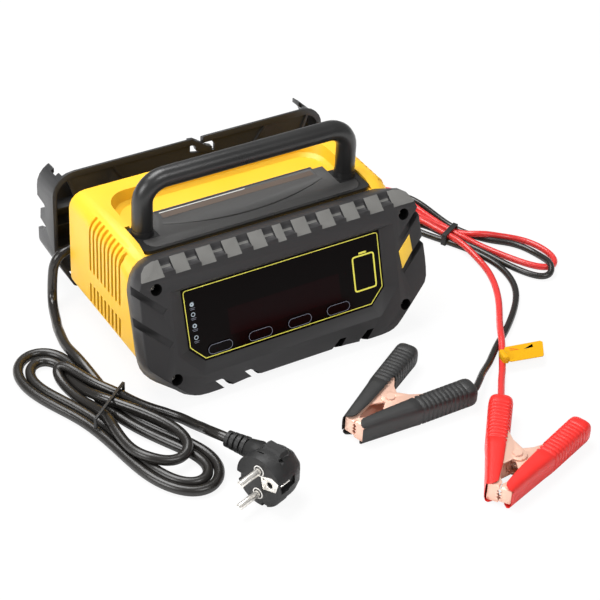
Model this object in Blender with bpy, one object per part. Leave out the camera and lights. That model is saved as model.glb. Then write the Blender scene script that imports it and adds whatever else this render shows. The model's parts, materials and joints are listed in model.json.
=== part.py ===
"""Car battery charger: moulded housing, sloped front bezel, carry handle, cord
cradle, mains cord with plug, and two output leads that end in spring clamps.

Lengths are metres and +Z is up. The charger is laid out from its front: y = 0
is just behind the foot of the sloped front, and the datum empty moves the whole
model so that the body stands centred on the origin.
"""
import math

import bmesh
import bpy
from mathutils import Matrix, Vector

# ---------------------------------------------------------------- driving sizes
CLEAR = 0.0003                 # gap between pieces that seat on each other
FLOOR_GAP = 0.0008             # housing and bezel ride this high on the feet

LEAN = math.radians(17.6)      # the front leans back by this much
FRONT_FOOT_Y = -0.0110         # the front plane, run down to z = 0
BEZEL_DEPTH = 0.0266           # front plane to the seam with the housing
BEZEL_WALL = 0.0035
BEZEL_FOOT = 0.0068            # up the slope, to the foot of the front face
BEZEL_TOP = 0.1072             # up the slope, to the top of the grip bevel
BEVEL_LOW = 0.0979             # up the slope, to the foot of the grip bevel
BEVEL_RUN = 0.0066             # how far the bevel runs back
BEZEL_HALF_FRONT = 0.1138      # widest half width of the front face
BEZEL_HALF_REAR = 0.1080

DISPLAY_SINK = 0.0048          # glass below the front plane
DISPLAY_HALF = 0.0790
DISPLAY_LOW = 0.0283
DISPLAY_HIGH = 0.0836
DISPLAY_CHAMFER = 0.0115
DISPLAY_THICK = 0.0022
FRAME_HALF = 0.0887
FRAME_LOW = 0.0212
FRAME_HIGH = 0.0862
FRAME_SIDE_LOW = 0.0392
FRAME_LOW_HALF = 0.0711

KEY_LONG = 0.0190
KEY_TALL = 0.0072
KEY_LINE = 0.0352              # up the slope, to the middle of the keys
KEY_PITCH = 0.0316
KEY_FIRST = -0.0552
KEY_TRAVEL = 0.0005
KEY_PROUD = 0.0008

GROOVE_PITCH = 0.0198          # scallops between the grip pads
GROOVE_FIRST = 0.0074
GROOVE_COUNT = 5
GROOVE_RADIUS = 0.0045
GROOVE_DEPTH = 0.0031

SCREW_HOLE = 0.0064
SCREW_HIGH = (0.0980, 0.0909)  # across, up the slope
SCREW_LOW = (0.0924, 0.0234)
SCREW_DEPTH = 0.0110
SCREW_HEAD = 0.0056

HOUSING_HALF = 0.1065
HOUSING_TOP = 0.0960
HOUSING_REAR = 0.1330
HOUSING_ROUND = 0.0120
HOUSING_WALL = 0.0026
CHAMFER_SIDE_Z = 0.0220        # where the side turns in to the lower chamfer
CHAMFER_FLOOR_X = 0.0880
TRAY_HALF = 0.0845
TRAY_REAR = 0.1180
TRAY_ROUND = 0.0170
TRAY_FLOOR = 0.0860

LOUVRE_COUNT = 9
LOUVRE_PITCH = 0.0057
LOUVRE_FIRST_Y = 0.0543
LOUVRE_WIDTH = 0.0027
LOUVRE_DEPTH = 0.0062
LOUVRE_LOW = (0.0235, 0.0402)  # z of the ends of the lower slots
LOUVRE_HIGH = (0.0510, 0.0990)

LID_TOP = 0.0943
LID_THICK = 0.0028
LID_FRONT = 0.0503
LID_REAR = 0.0858
LID_ROUND = 0.0080

HANDLE_BASE_HALF = 0.0900      # the base that carries both legs
HANDLE_RADIUS = 0.00735
HANDLE_LEG_X = HANDLE_BASE_HALF - 0.0088
HANDLE_Y = 0.0700
HANDLE_BAR_Z = 0.1349
HANDLE_BEND = 0.0165
LEG_CUP = HANDLE_RADIUS + 0.0016  # notch in the lid round each leg
LID_HALF = HANDLE_BASE_HALF - 0.0050
LABEL_HALF = HANDLE_LEG_X - LEG_CUP - 0.00825
FINGER_PITCH = 0.0103
FINGER_COUNT = 8

CRADLE_FRONT = 0.1500
CRADLE_BACK = 0.1770
CRADLE_HALF = 0.1112
CRADLE_TOP = 0.1010
CRADLE_ROUND = 0.0175
CRADLE_WALL = 0.0032
CRADLE_LIP = 0.0016
CRADLE_HORN = 0.1014           # half the gap between the horns
CRADLE_PLATE_Y = 0.1524
CRADLE_PLATE = 0.0024
RIB_HEIGHTS = (0.0371, 0.0563, 0.0703)
POCKET_BACK = 0.1640           # y of the wall that closes each side pocket
CRADLE_SIDE_Z = 0.0310
CRADLE_FLOOR_X = 0.0960
CRADLE_PLATE_HALF = 0.0985
POST_X = 0.0600
POST_Z = (0.0220, 0.0740)
POST_RADIUS = 0.0050

BOARD_HALF = HOUSING_HALF - 0.0245
BOARD_FRONT = 0.0340
BOARD_REAR = HOUSING_REAR - 0.0090
BOARD_THICK = 0.0016
BOARD_LIFT = 0.0050            # gap below the main board
CORE_X = -0.0320               # middle of the transformer
CORE_Y = 0.0740
CORE_SIZE = (0.0520, 0.0200, 0.0440)
WINDING_SIZE = (0.0360, 0.0400, 0.0320)
SINK_X = 0.0200
SINK_SIZE = (0.0280, 0.0550, 0.0420)
SINK_REAR = HOUSING_REAR - 0.0280
SINK_FINS = 7
SINK_FIN = 0.0018
CAPACITOR_RADIUS = 0.0088
CAPACITOR_TALL = 0.0300

FAN_SIZE = 0.0500
FAN_DEPTH = 0.0100
FAN_HUB = 0.0095
FAN_HUB_DEPTH = 0.0065
BLADE_LONG = 0.0140
BLADE_WIDE = 0.0085
FAN_X = 0.0300
FAN_Z = 0.0440
FAN_BLADES = 7

MAINS_RADIUS = 0.0036
LEAD_RADIUS = 0.0025
GLAND_Z = 0.0430
GLAND_Y = 0.1415
GLAND_TIP_X = 0.0880
GLAND_ROOT_X = 0.0560

HANK_THICK = 0.0155            # the wound stretch of the mains cord
HANK_TIE = 0.0050
LEAD_HANK_THICK = 0.0100

PIN_RADIUS = 0.0024
PIN_LENGTH = 0.0190
PIN_SPACE = 0.0190
PLUG_RADIUS = 0.0188
PLUG_DEPTH = 0.0285
PLUG_FACE = (-0.0927, -0.1147, 0.0190)
PLUG_TURN = math.radians(18.9)

CLAMP_MIDDLE_Z = 0.0089
ARM_TIP = (-0.0360, 0.0045)    # start of an arm's centre line, from the rivet
ARM_ANGLE = math.radians(15.3)
ARM_LENGTH = 0.0930
JAW_HALF = (0.0069, 0.0056)    # half width of the fixed and of the moving jaw
JAW_WALL = 0.0010
SLEEVE_INNER = 0.0075
RIVET_RADIUS = 0.0022
RIVET_HEAD = 0.0034
CLAMP_BLACK = ((0.0308, -0.0798), math.radians(15.7), -1)
CLAMP_RED = ((0.0741, -0.1673), math.radians(35.7), 1)

FRONT_MOST = FRONT_FOOT_Y + BEZEL_FOOT * math.sin(LEAN)
ORIGIN_Y = (FRONT_MOST + CRADLE_BACK) / 2

# ---------------------------------------------------------------- scene helpers
for old in list(bpy.data.objects):
    bpy.data.objects.remove(old, do_unlink=True)

PARTS = bpy.data.collections.new("car_battery_charger")
CUTTERS = bpy.data.collections.new("cutters")
bpy.context.scene.collection.children.link(PARTS)
bpy.context.scene.collection.children.link(CUTTERS)


def make_material(name, colour, roughness, metallic=0.0):
    material = bpy.data.materials.new(name)
    material.use_nodes = True
    shader = material.node_tree.nodes["Principled BSDF"]
    shader.inputs["Base Color"].default_value = (*colour, 1.0)
    shader.inputs["Roughness"].default_value = roughness
    shader.inputs["Metallic"].default_value = metallic
    return material


YELLOW = make_material("yellow_plastic", (0.95, 0.58, 0.02), 0.45)
BLACK = make_material("black_plastic", (0.045, 0.045, 0.05), 0.5)
GLOSS = make_material("display_gloss", (0.012, 0.01, 0.012), 0.12)
RUBBER = make_material("rubber", (0.02, 0.02, 0.02), 0.6)
CORD_BLACK = make_material("cord_black", (0.015, 0.015, 0.015), 0.35)
CORD_RED = make_material("cord_red", (0.75, 0.03, 0.03), 0.35)
GRIP_RED = make_material("grip_red", (0.8, 0.04, 0.04), 0.4)
GRIP_BLACK = make_material("grip_black", (0.03, 0.03, 0.032), 0.45)
COPPER = make_material("copper_plate", (0.85, 0.5, 0.38), 0.3, 1.0)
STEEL = make_material("steel", (0.75, 0.75, 0.76), 0.25, 1.0)
BOARD = make_material("circuit_board", (0.02, 0.18, 0.08), 0.5)
FERRITE = make_material("transformer_tape", (0.75, 0.6, 0.1), 0.5)
ALUMINIUM = make_material("aluminium", (0.8, 0.8, 0.82), 0.35, 1.0)
TAG = make_material("tag_yellow", (0.95, 0.7, 0.05), 0.5)


def make_empty(name, location=(0, 0, 0), rotation=(0, 0, 0), parent=None):
    empty = bpy.data.objects.new(name, None)
    empty.location = location
    empty.rotation_euler = rotation
    empty.parent = parent
    PARTS.objects.link(empty)
    return empty


DATUM = make_empty("datum", (0, -ORIGIN_Y, 0))
# local x across, y up the slope, z out of the front plane
SLOPE = make_empty("slope", (0, FRONT_FOOT_Y, 0), (math.pi / 2 - LEAN, 0, 0), DATUM)


def place(name, mesh, material, parent=DATUM, location=(0, 0, 0), rotation=(0, 0, 0), smooth=35):
    """Put a mesh in the parts collection as a named piece."""
    item = bpy.data.objects.new(name, mesh)
    item.location = location
    item.rotation_euler = rotation
    item.parent = parent
    if material:
        mesh.materials.append(material)
    mesh.shade_smooth()
    mesh.set_sharp_from_angle(angle=math.radians(smooth))
    PARTS.objects.link(item)
    return item


def boolean(target, mesh, operation="DIFFERENCE", parent=DATUM, location=(0, 0, 0), rotation=(0, 0, 0),
            crossing=False):
    """Cut or join a mesh; crossing says that the mesh's own bodies run into each other."""
    tool = bpy.data.objects.new(target.name + "_tool", mesh)
    tool.location = location
    tool.rotation_euler = rotation
    tool.parent = parent
    tool.hide_render = True
    tool.display_type = "WIRE"
    CUTTERS.objects.link(tool)
    modifier = target.modifiers.new(operation.lower(), "BOOLEAN")
    modifier.operation = operation
    modifier.solver = "EXACT"
    modifier.use_self = crossing
    modifier.object = tool
    return tool


def to_mesh(bm, name="shape"):
    bmesh.ops.recalc_face_normals(bm, faces=bm.faces)
    mesh = bpy.data.meshes.new(name)
    bm.to_mesh(mesh)
    bm.free()
    return mesh


def add_box(bm, low, high, turn=None):
    """A box between two corners; turn is applied about the box's middle."""
    low, high = Vector(low), Vector(high)
    size = high - low
    middle = Matrix.Translation((low + high) / 2)
    scale = Matrix.Diagonal((*size, 1.0))
    bmesh.ops.create_cube(bm, size=1.0, matrix=middle @ (turn or Matrix()) @ scale)


def add_rod(bm, start, end, radius, end_radius=None, sides=24):
    """A round rod or cone between two points."""
    start, end = Vector(start), Vector(end)
    line = end - start
    aim = line.to_track_quat("Z", "Y").to_matrix().to_4x4()
    bmesh.ops.create_cone(
        bm, cap_ends=True, segments=sides, radius1=radius,
        radius2=radius if end_radius is None else end_radius, depth=line.length,
        matrix=Matrix.Translation((start + end) / 2) @ aim)


def box_mesh(low, high, turn=None):
    bm = bmesh.new()
    add_box(bm, low, high, turn)
    return to_mesh(bm)


def rod_mesh(start, end, radius, end_radius=None, sides=24):
    bm = bmesh.new()
    add_rod(bm, start, end, radius, end_radius, sides)
    return to_mesh(bm)


def mirrored(half):
    """A closed outline from its right half, listed from the bottom up."""
    return [(x, y) for x, y in half] + [(-x, y) for x, y in reversed(half) if abs(x) > 1e-9]


def rounded(outline, radii, steps=5):
    """Round the corners of an outline; radii holds corner index -> radius."""
    points = []
    count = len(outline)
    for i, corner in enumerate(outline):
        radius = radii.get(i, 0)
        corner = Vector(corner)
        if not radius:
            points.append(tuple(corner))
            continue
        before = (Vector(outline[i - 1]) - corner).normalized()
        after = (Vector(outline[(i + 1) % count]) - corner).normalized()
        half_angle = before.angle(after) / 2
        reach = radius / math.tan(half_angle)
        centre = corner + (before + after).normalized() * (radius / math.sin(half_angle))
        first = corner + before * reach - centre
        last = corner + after * reach - centre
        sweep = first.angle_signed(last)
        for step in range(steps + 1):
            turn = -sweep * step / steps
            cosine, sine = math.cos(turn), math.sin(turn)
            points.append((centre.x + first.x * cosine - first.y * sine,
                           centre.y + first.x * sine + first.y * cosine))
    return points


def curve_mesh(curve):
    """Turn a curve into a closed mesh with welded caps."""
    holder = bpy.data.objects.new("holder", curve)
    PARTS.objects.link(holder)
    bpy.context.view_layer.update()
    evaluated = holder.evaluated_get(bpy.context.evaluated_depsgraph_get())
    mesh = bpy.data.meshes.new_from_object(evaluated)
    bm = bmesh.new()
    bm.from_mesh(mesh)
    bmesh.ops.remove_doubles(bm, verts=bm.verts, dist=1e-6)
    bmesh.ops.recalc_face_normals(bm, faces=bm.faces)
    bm.to_mesh(mesh)
    bm.free()
    mesh.materials.clear()
    bpy.data.objects.remove(holder, do_unlink=True)
    bpy.data.curves.remove(curve)
    return mesh


def plate_mesh(outline, low, high, holes=()):
    """A flat plate in XY between two heights, from a filled 2D curve."""
    curve = bpy.data.curves.new("outline", "CURVE")
    curve.dimensions = "2D"
    curve.fill_mode = "BOTH"
    curve.extrude = (high - low) / 2
    for loop in (outline, *holes):
        spline = curve.splines.new("POLY")
        spline.points.add(len(loop) - 1)
        for point, (x, y) in zip(spline.points, loop):
            point.co = (x, y, 0, 1)
        spline.use_cyclic_u = True
    mesh = curve_mesh(curve)
    mesh.transform(Matrix.Translation((0, 0, (low + high) / 2)))
    return mesh


def upright(mesh):
    """Stand an XY plate up so that its y is world z and its height runs back."""
    mesh.transform(Matrix.Rotation(math.pi / 2, 4, "X") @ Matrix.Scale(-1, 4, (0, 0, 1)))
    mesh.flip_normals()
    return mesh


def wall_mesh(outline, front, back, holes=()):
    """An outline in x and z, extruded from y = front to y = back."""
    return upright(plate_mesh(outline, front, back, holes))


def smooth_route(points, spacing, closed=False):
    """Points at an even spacing on a Catmull-Rom curve through the route."""
    route = [Vector(p) for p in points]
    ends = [2 * route[0] - route[1]] + route + [2 * route[-1] - route[-2]]
    fine = []
    for i in range(1, len(ends) - 2):
        a, b, c, d = ends[i - 1:i + 3]
        for step in range(16):
            t = step / 16
            fine.append(0.5 * (2 * b + (c - a) * t + (2 * a - 5 * b + 4 * c - d) * t * t
                               + (3 * b - a - 3 * c + d) * t ** 3))
    fine.append(route[-1])
    length = sum((q - p).length for p, q in zip(fine, fine[1:]))
    count = max(2, round(length / spacing))
    step = length / count
    even, travelled, target = [fine[0]], 0.0, step
    for p, q in zip(fine, fine[1:]):
        gap = (q - p).length
        while travelled + gap >= target - 1e-9 and len(even) < count:
            even.append(p.lerp(q, (target - travelled) / gap))
            target += step
        travelled += gap
    even.append(fine[-1])
    return even


def tube_mesh(points, radius, resolution=2):
    """A round tube along a list of points."""
    curve = bpy.data.curves.new("tube", "CURVE")
    curve.dimensions = "3D"
    curve.bevel_depth = radius
    curve.bevel_resolution = resolution
    curve.use_fill_caps = True
    curve.resolution_u = 1
    spline = curve.splines.new("POLY")
    spline.points.add(len(points) - 1)
    for point, place_at in zip(spline.points, points):
        point.co = (*place_at, 1)
    return curve_mesh(curve)


def loft_mesh(sections):
    """A closed skin through sections that have the same number of points."""
    bm = bmesh.new()
    rings = [[bm.verts.new(p) for p in section] for section in sections]
    for ring, after in zip(rings, rings[1:]):
        for i in range(len(ring)):
            j = (i + 1) % len(ring)
            bm.faces.new((ring[i], ring[j], after[j], after[i]))
    bm.faces.new(list(reversed(rings[0])))
    bm.faces.new(rings[-1])
    return to_mesh(bm)


# ---------------------------------------------------------------- front bezel
# right half of the bezel at four depths behind the front plane, from the foot up to the top
BEZEL_SECTIONS = (
    (0.0, [(0.0722, BEZEL_FOOT), (0.0835, 0.0098), (0.0922, 0.0135), (0.1068, 0.0305), (0.1122, 0.0419),
           (0.1126, 0.0600), (0.1101, 0.0750), (0.1083, 0.0880), (0.1055, 0.0940), (0.0985, 0.0962)]),
    (BEVEL_RUN * 0.29, [(0.0735, 0.0058), (0.0838, 0.0088), (0.0933, 0.0123), (0.1082, 0.0298),
                        (BEZEL_HALF_FRONT - 0.0002, 0.0417), (BEZEL_HALF_FRONT, 0.0600), (0.1115, 0.0750),
                        (0.1097, 0.0890), (0.1072, 0.0955), (0.1000, BEVEL_LOW)]),
    (BEVEL_RUN * 1.29, [(0.0735, 0.0033), (0.0835, 0.0070), (0.0933, 0.0123), (0.1080, 0.0298),
                        (0.1130, 0.0417), (0.1132, 0.0600), (0.1110, 0.0750), (0.1095, 0.0920),
                        (0.1060, 0.1010), (0.1003, BEZEL_TOP)]),
    (BEZEL_DEPTH, [(0.0730, 0.0000), (0.0820, 0.0110), (0.0900, 0.0160), (0.1035, 0.0330),
                   (BEZEL_HALF_REAR, 0.0450), (BEZEL_HALF_REAR, 0.0600), (BEZEL_HALF_REAR, 0.0750),
                   (0.1070, 0.0900), (0.1020, 0.1010), (0.0900, BEZEL_TOP)]))


def bezel_mesh():
    """The moulding as a loft from the front face back to the seam."""
    sections = []
    for depth, half in BEZEL_SECTIONS:
        right = [(0.0, half[0][1])] + half + [(0.0, half[-1][1])]
        sections.append([(x, y, -depth) for x, y in mirrored(right)])
    return loft_mesh(sections)


def display_outline(grow=0.0):
    half, low, high = DISPLAY_HALF + grow, DISPLAY_LOW - grow, DISPLAY_HIGH + grow
    cut = DISPLAY_CHAMFER
    return mirrored([(half - cut, low), (half, low + cut), (half, high)])


def frame_recess_mesh():
    """The chamfered step from the front plane down to the glass."""
    outer = mirrored([(FRAME_LOW_HALF, FRAME_LOW), (FRAME_HALF, FRAME_SIDE_LOW), (FRAME_HALF, FRAME_HIGH)])
    inner = display_outline(CLEAR)
    rise = 0.001
    spread = 1 + rise / DISPLAY_SINK
    top = [(i[0] + (o[0] - i[0]) * spread, i[1] + (o[1] - i[1]) * spread, rise)
           for o, i in zip(outer, inner)]
    floor = [(x, y, -DISPLAY_SINK) for x, y in inner]
    pocket = [(x, y, -DISPLAY_SINK - DISPLAY_THICK - CLEAR) for x, y in inner]
    return loft_mesh([top, floor, pocket])


def groove_places():
    for side in (-1, 1):
        for i in range(GROOVE_COUNT):
            yield side * (GROOVE_FIRST + GROOVE_PITCH * i)


def grip_groove_mesh():
    """Scallops that leave the grip pads standing along the top bevel."""
    bm = bmesh.new()
    foot = Vector((0, BEVEL_LOW, -BEVEL_RUN * 0.29))
    head = Vector((0, BEZEL_TOP, -BEVEL_RUN - 0.0019))
    along = (head - foot).normalized()
    out = Vector((0, -along.z, along.y))
    lift = out * (GROOVE_RADIUS - GROOVE_DEPTH)
    for x in groove_places():
        across = Vector((x, 0, 0))
        add_rod(bm, foot - along * 0.0015 + lift + across, head + along * 0.004 + lift + across,
                GROOVE_RADIUS, sides=20)
    return to_mesh(bm)


FLANK_CHANNELS = (((0.0880, 0.0725), (0.1120, 0.0905)), ((0.0895, 0.0495), (0.1160, 0.0715)))


def flank_channel_mesh():
    """Two slanted channels on each flank, each ending in a deep pocket."""
    bm = bmesh.new()
    for side in (-1, 1):
        for (x0, y0), (x1, y1) in FLANK_CHANNELS:
            slant = math.atan2(y1 - y0, x1 - x0)
            length = math.hypot(x1 - x0, y1 - y0)
            for start, depth in ((0.0, 0.0012), (length * 0.58, 0.0048)):
                middle = start + (length - start) / 2
                spot = Matrix.Translation((side * (x0 + middle * math.cos(slant)),
                                           y0 + middle * math.sin(slant), 0.001 - depth / 2))
                size = Matrix.Diagonal((length - start, 0.0052 - depth * 0.2, depth + 0.002, 1.0))
                turn = Matrix.Rotation(side * slant, 4, "Z")
                bmesh.ops.create_cube(bm, size=1.0, matrix=spot @ turn @ size)
    return to_mesh(bm)


def chin_mesh():
    """Wedge that folds the chin back under the display frame."""
    fold = 0.0086 / 0.0185
    low = -0.0060
    front = 0.004
    drop = (FRAME_LOW - low) * fold
    top_half, low_half = FRAME_LOW_HALF, 0.0600
    top = [(-top_half, FRAME_LOW, front), (top_half, FRAME_LOW, front),
           (top_half, FRAME_LOW, 0.0), (-top_half, FRAME_LOW, 0.0)]
    bottom = [(-low_half, low, front), (low_half, low, front),
              (low_half, low, -drop), (-low_half, low, -drop)]
    return loft_mesh([top, bottom])


def chin_notch_mesh():
    """Slots under the chin, with slanted cheeks."""
    bm = bmesh.new()
    for side in (-1, 1):
        for x, wide, tall in ((0.0300, 0.0085, 0.0055), (0.0530, 0.0085, 0.0078)):
            tilt = Matrix.Rotation(side * math.radians(-12), 4, "Y")
            add_box(bm, (side * x - wide / 2, -0.02, -0.004), (side * x + wide / 2, 0.010, tall), tilt)
    return to_mesh(bm)


def make_bezel():
    bezel = place("front_bezel", bezel_mesh(), BLACK, SLOPE)
    boolean(bezel, box_mesh((-0.2, -0.1, -0.05), (0.2, 0.1, FLOOR_GAP)))
    boolean(bezel, chin_mesh(), parent=SLOPE)
    boolean(bezel, frame_recess_mesh(), parent=SLOPE)
    boolean(bezel, grip_groove_mesh(), parent=SLOPE)
    boolean(bezel, flank_channel_mesh(), parent=SLOPE, crossing=True)
    boolean(bezel, chin_notch_mesh())
    # hollow behind the display, open to the housing
    half, low, high = 0.0960, 0.0240, BEZEL_TOP - 0.0125
    hollow = [(-half, low + 0.012), (-half + 0.015, low), (half - 0.015, low), (half, low + 0.012),
              (half, high - 0.016), (half - 0.010, high), (-half + 0.010, high), (-half, high - 0.016)]
    back_of_glass = -DISPLAY_SINK - DISPLAY_THICK - CLEAR - BEZEL_WALL
    boolean(bezel, plate_mesh(hollow, -BEZEL_DEPTH - 0.01, back_of_glass - 0.0015), parent=SLOPE)
    bm = bmesh.new()
    for x, y in (SCREW_HIGH, SCREW_LOW):
        for side in (-1, 1):
            add_rod(bm, (side * x, y, -SCREW_DEPTH), (side * x, y, 0.002), SCREW_HOLE / 2, sides=20)
    # openings behind the keys and the lit window
    for i in range(4):
        middle = KEY_FIRST + KEY_PITCH * i
        add_box(bm, (middle - 0.0060, KEY_LINE - 0.0025, -0.02), (middle + 0.0060, KEY_LINE + 0.0025, -0.006))
    boolean(bezel, to_mesh(bm), parent=SLOPE)
    boolean(bezel, plate_mesh(insert_outline(CLEAR), -0.0015 - CLEAR, 0.004), parent=SLOPE)


def insert_outline(grow=0.0):
    """Four-sided accent between the channels of the right flank."""
    corners = [(0.0905, 0.0585), (0.0935, 0.0560), (0.1030, 0.0655), (0.1022, 0.0728), (0.1000, 0.0722),
               (0.0912, 0.0640)]
    middle = (sum(x for x, _ in corners) / 6, sum(y for _, y in corners) / 6)
    reach = 1 + grow / 0.004
    return [(middle[0] + (x - middle[0]) * reach, middle[1] + (y - middle[1]) * reach) for x, y in corners]


make_bezel()
place("accent_insert", plate_mesh(insert_outline(), -0.0015, 0.0006), YELLOW, SLOPE)


# ---------------------------------------------------------------- display and keys
def stadium(length, height, middle=(0.0, 0.0), steps=8):
    """A slot outline with round ends."""
    radius = height / 2
    reach = length / 2 - radius
    outline = []
    for side, start in ((1, -math.pi / 2), (-1, math.pi / 2)):
        for i in range(steps + 1):
            angle = start + math.pi * i / steps
            outline.append((middle[0] + side * reach + radius * math.cos(angle),
                            middle[1] + radius * math.sin(angle)))
    return outline


def key_middle(i):
    return (KEY_FIRST + KEY_PITCH * i, KEY_LINE)


def make_display():
    top = -DISPLAY_SINK
    holes = [stadium(KEY_LONG + 2 * CLEAR, KEY_TALL + 2 * CLEAR, key_middle(i)) for i in range(4)]
    place("display_panel", plate_mesh(display_outline(), top - DISPLAY_THICK, top, holes), GLOSS, SLOPE)
    floor = top - DISPLAY_THICK
    for i in range(4):
        key = place(f"key_{i + 1}", plate_mesh(stadium(KEY_LONG, KEY_TALL), floor + KEY_TRAVEL + CLEAR,
                                               top + KEY_PROUD), GLOSS, SLOPE, (*key_middle(i), 0))
        stem_low = -DISPLAY_SINK - DISPLAY_THICK - BEZEL_WALL - 0.0030
        boolean(key, box_mesh((-0.0050, -0.0016, stem_low), (0.0050, 0.0016, floor + KEY_TRAVEL + 0.001)),
                "UNION", SLOPE, (*key_middle(i), 0))


make_display()


def make_display_board():
    front = -DISPLAY_SINK - DISPLAY_THICK - BEZEL_WALL - 0.0030 - KEY_TRAVEL - CLEAR - 0.0003
    half = DISPLAY_HALF + 0.0010
    board = place("display_board", box_mesh((-half, DISPLAY_LOW + 0.0007, front - BOARD_THICK),
                                            (half, DISPLAY_HIGH + 0.0004, front)), BOARD, SLOPE)
    post_top = -DISPLAY_SINK - DISPLAY_THICK - CLEAR - BEZEL_WALL - 0.0015 - CLEAR
    bm = bmesh.new()
    for x in (-half + 0.0040, half - 0.0040):
        for y in (DISPLAY_LOW + 0.0187, DISPLAY_HIGH - 0.0036):
            add_rod(bm, (x, y, front - 0.0008), (x, y, post_top), 0.0022, sides=12)
    boolean(board, to_mesh(bm), "UNION", SLOPE)


make_display_board()


def make_front_screws():
    head_top = -SCREW_DEPTH + CLEAR + 0.0030
    number = 1
    for x, y in (SCREW_HIGH, SCREW_LOW):
        for side in (-1, 1):
            screw = place(f"front_screw_{number}",
                          rod_mesh((0, 0, -SCREW_DEPTH + CLEAR), (0, 0, head_top), SCREW_HEAD / 2, 0.0024, 16),
                          STEEL, SLOPE, (side * x, y, 0))
            for turn in (0, math.pi / 2):
                boolean(screw, box_mesh((-0.0018, -0.0004, head_top - 0.0010), (0.0018, 0.0004, head_top + 0.001)),
                        parent=SLOPE, location=(side * x, y, 0), rotation=(0, 0, turn))
            number += 1


make_front_screws()


# ---------------------------------------------------------------- housing
def housing_outline(inset=0.0, low=FLOOR_GAP):
    """Front view of the housing, inset by a wall."""
    half = HOUSING_HALF - inset
    top = HOUSING_TOP - inset
    corner = max(HOUSING_ROUND - inset, 0.004)
    half_outline = [(0.0, low + inset), (CHAMFER_FLOOR_X - inset * 0.5, low + inset),
                    (half, CHAMFER_SIDE_Z), (half, top), (0.0, top)]
    outline = mirrored(half_outline)
    return rounded(outline, {1: 0.004, 2: 0.010, 3: corner, 5: corner, 6: 0.010, 7: 0.004}, 5)


def front_cut_mesh():
    """Everything in front of the seam, which is parallel to the front plane."""
    return box_mesh((-0.2, -0.2, -BEZEL_DEPTH - CLEAR), (0.2, 0.25, 0.3))


def tray_mesh():
    outline = [(-TRAY_HALF, 0.0780), (TRAY_HALF, 0.0780), (TRAY_HALF, TRAY_REAR), (-TRAY_HALF, TRAY_REAR)]
    low = rounded(outline, {2: TRAY_ROUND, 3: TRAY_ROUND}, 6)
    grown = [(-TRAY_HALF - 0.0030, 0.0780), (TRAY_HALF + 0.0030, 0.0780),
             (TRAY_HALF + 0.0030, TRAY_REAR + 0.0030), (-TRAY_HALF - 0.0030, TRAY_REAR + 0.0030)]
    high = rounded(grown, {2: TRAY_ROUND, 3: TRAY_ROUND}, 6)
    foot = rounded([(x * 0.97, y if y < 0.08 else y - 0.0028) for x, y in outline],
                   {2: TRAY_ROUND, 3: TRAY_ROUND}, 6)
    return loft_mesh([[(x, y, TRAY_FLOOR) for x, y in foot],
                      [(x, y, TRAY_FLOOR + 0.0022) for x, y in low],
                      [(x, y, HOUSING_TOP + 0.003) for x, y in high]])


def louvre_mesh():
    bm = bmesh.new()
    for side in (-1, 1):
        outer = side * (HOUSING_HALF + 0.002)
        inner = side * (HOUSING_HALF - LOUVRE_DEPTH)
        for i in range(LOUVRE_COUNT):
            y = LOUVRE_FIRST_Y + LOUVRE_PITCH * i
            for low, high in (LOUVRE_LOW, LOUVRE_HIGH):
                add_box(bm, (min(outer, inner), y - LOUVRE_WIDTH / 2, low),
                        (max(outer, inner), y + LOUVRE_WIDTH / 2, high))
    return to_mesh(bm)


def make_housing():
    body = wall_mesh(housing_outline(), 0.0, HOUSING_REAR)
    bm = bmesh.new()
    bm.from_mesh(body)
    rear = [e for e in bm.edges if all(abs(v.co.y - HOUSING_REAR) < 1e-6 for v in e.verts)
            and len(e.link_faces) == 2 and abs(e.calc_face_angle()) > 1.0]
    bmesh.ops.bevel(bm, geom=rear, offset=HOUSING_ROUND * 0.8, segments=4, profile=0.5, affect="EDGES",
                    clamp_overlap=True)
    bm.to_mesh(body)
    bm.free()
    housing = place("housing", body, YELLOW)
    boolean(housing, front_cut_mesh(), parent=SLOPE)
    inner = HOUSING_HALF - HOUSING_WALL
    ceiling = TRAY_FLOOR - HOUSING_WALL
    floor = FLOOR_GAP + HOUSING_WALL
    cavity = mirrored([(CHAMFER_FLOOR_X - 0.0010, floor), (inner, CHAMFER_SIDE_Z + 0.0012), (inner, ceiling)])
    cavity_mesh = wall_mesh(cavity, -0.02, HOUSING_REAR - HOUSING_WALL)
    boolean(housing, cavity_mesh)
    boolean(housing, tray_mesh())
    recess_half = HANDLE_BASE_HALF + CLEAR
    boolean(housing, box_mesh((-recess_half, 0.0, LID_TOP - LID_THICK - CLEAR),
                              (recess_half, HANDLE_Y + 0.0085 + CLEAR, HOUSING_TOP + 0.003)))
    boolean(housing, louvre_mesh())
    boolean(housing, rear_grille_mesh())
    return housing


def rear_grille_mesh():
    """Fan grille in the rear wall, and the holes for the cradle screws."""
    bm = bmesh.new()
    ring_count = 5
    for i in range(ring_count):
        y_gap = FAN_SIZE * 0.8 / ring_count
        z = FAN_Z + (i - (ring_count - 1) / 2) * y_gap
        reach = math.sqrt((FAN_SIZE * 0.44) ** 2 - (z - FAN_Z) ** 2)
        for side in (-1, 1):
            near, far = FAN_X + side * 0.0022, FAN_X + side * reach
            add_box(bm, (min(near, far), HOUSING_REAR - 0.006, z - 0.0022),
                    (max(near, far), HOUSING_REAR + 0.002, z + 0.0022))
    return to_mesh(bm)


make_housing()


def make_feet():
    number = 1
    for x in (-0.070, 0.070):
        for y in (0.045, 0.118):
            bm = bmesh.new()
            add_rod(bm, (0, 0, 0), (0, 0, FLOOR_GAP - CLEAR), 0.0070, 0.0072, 24)
            place(f"foot_{number}", to_mesh(bm), RUBBER, location=(x, y, 0))
            number += 1


make_feet()


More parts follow.
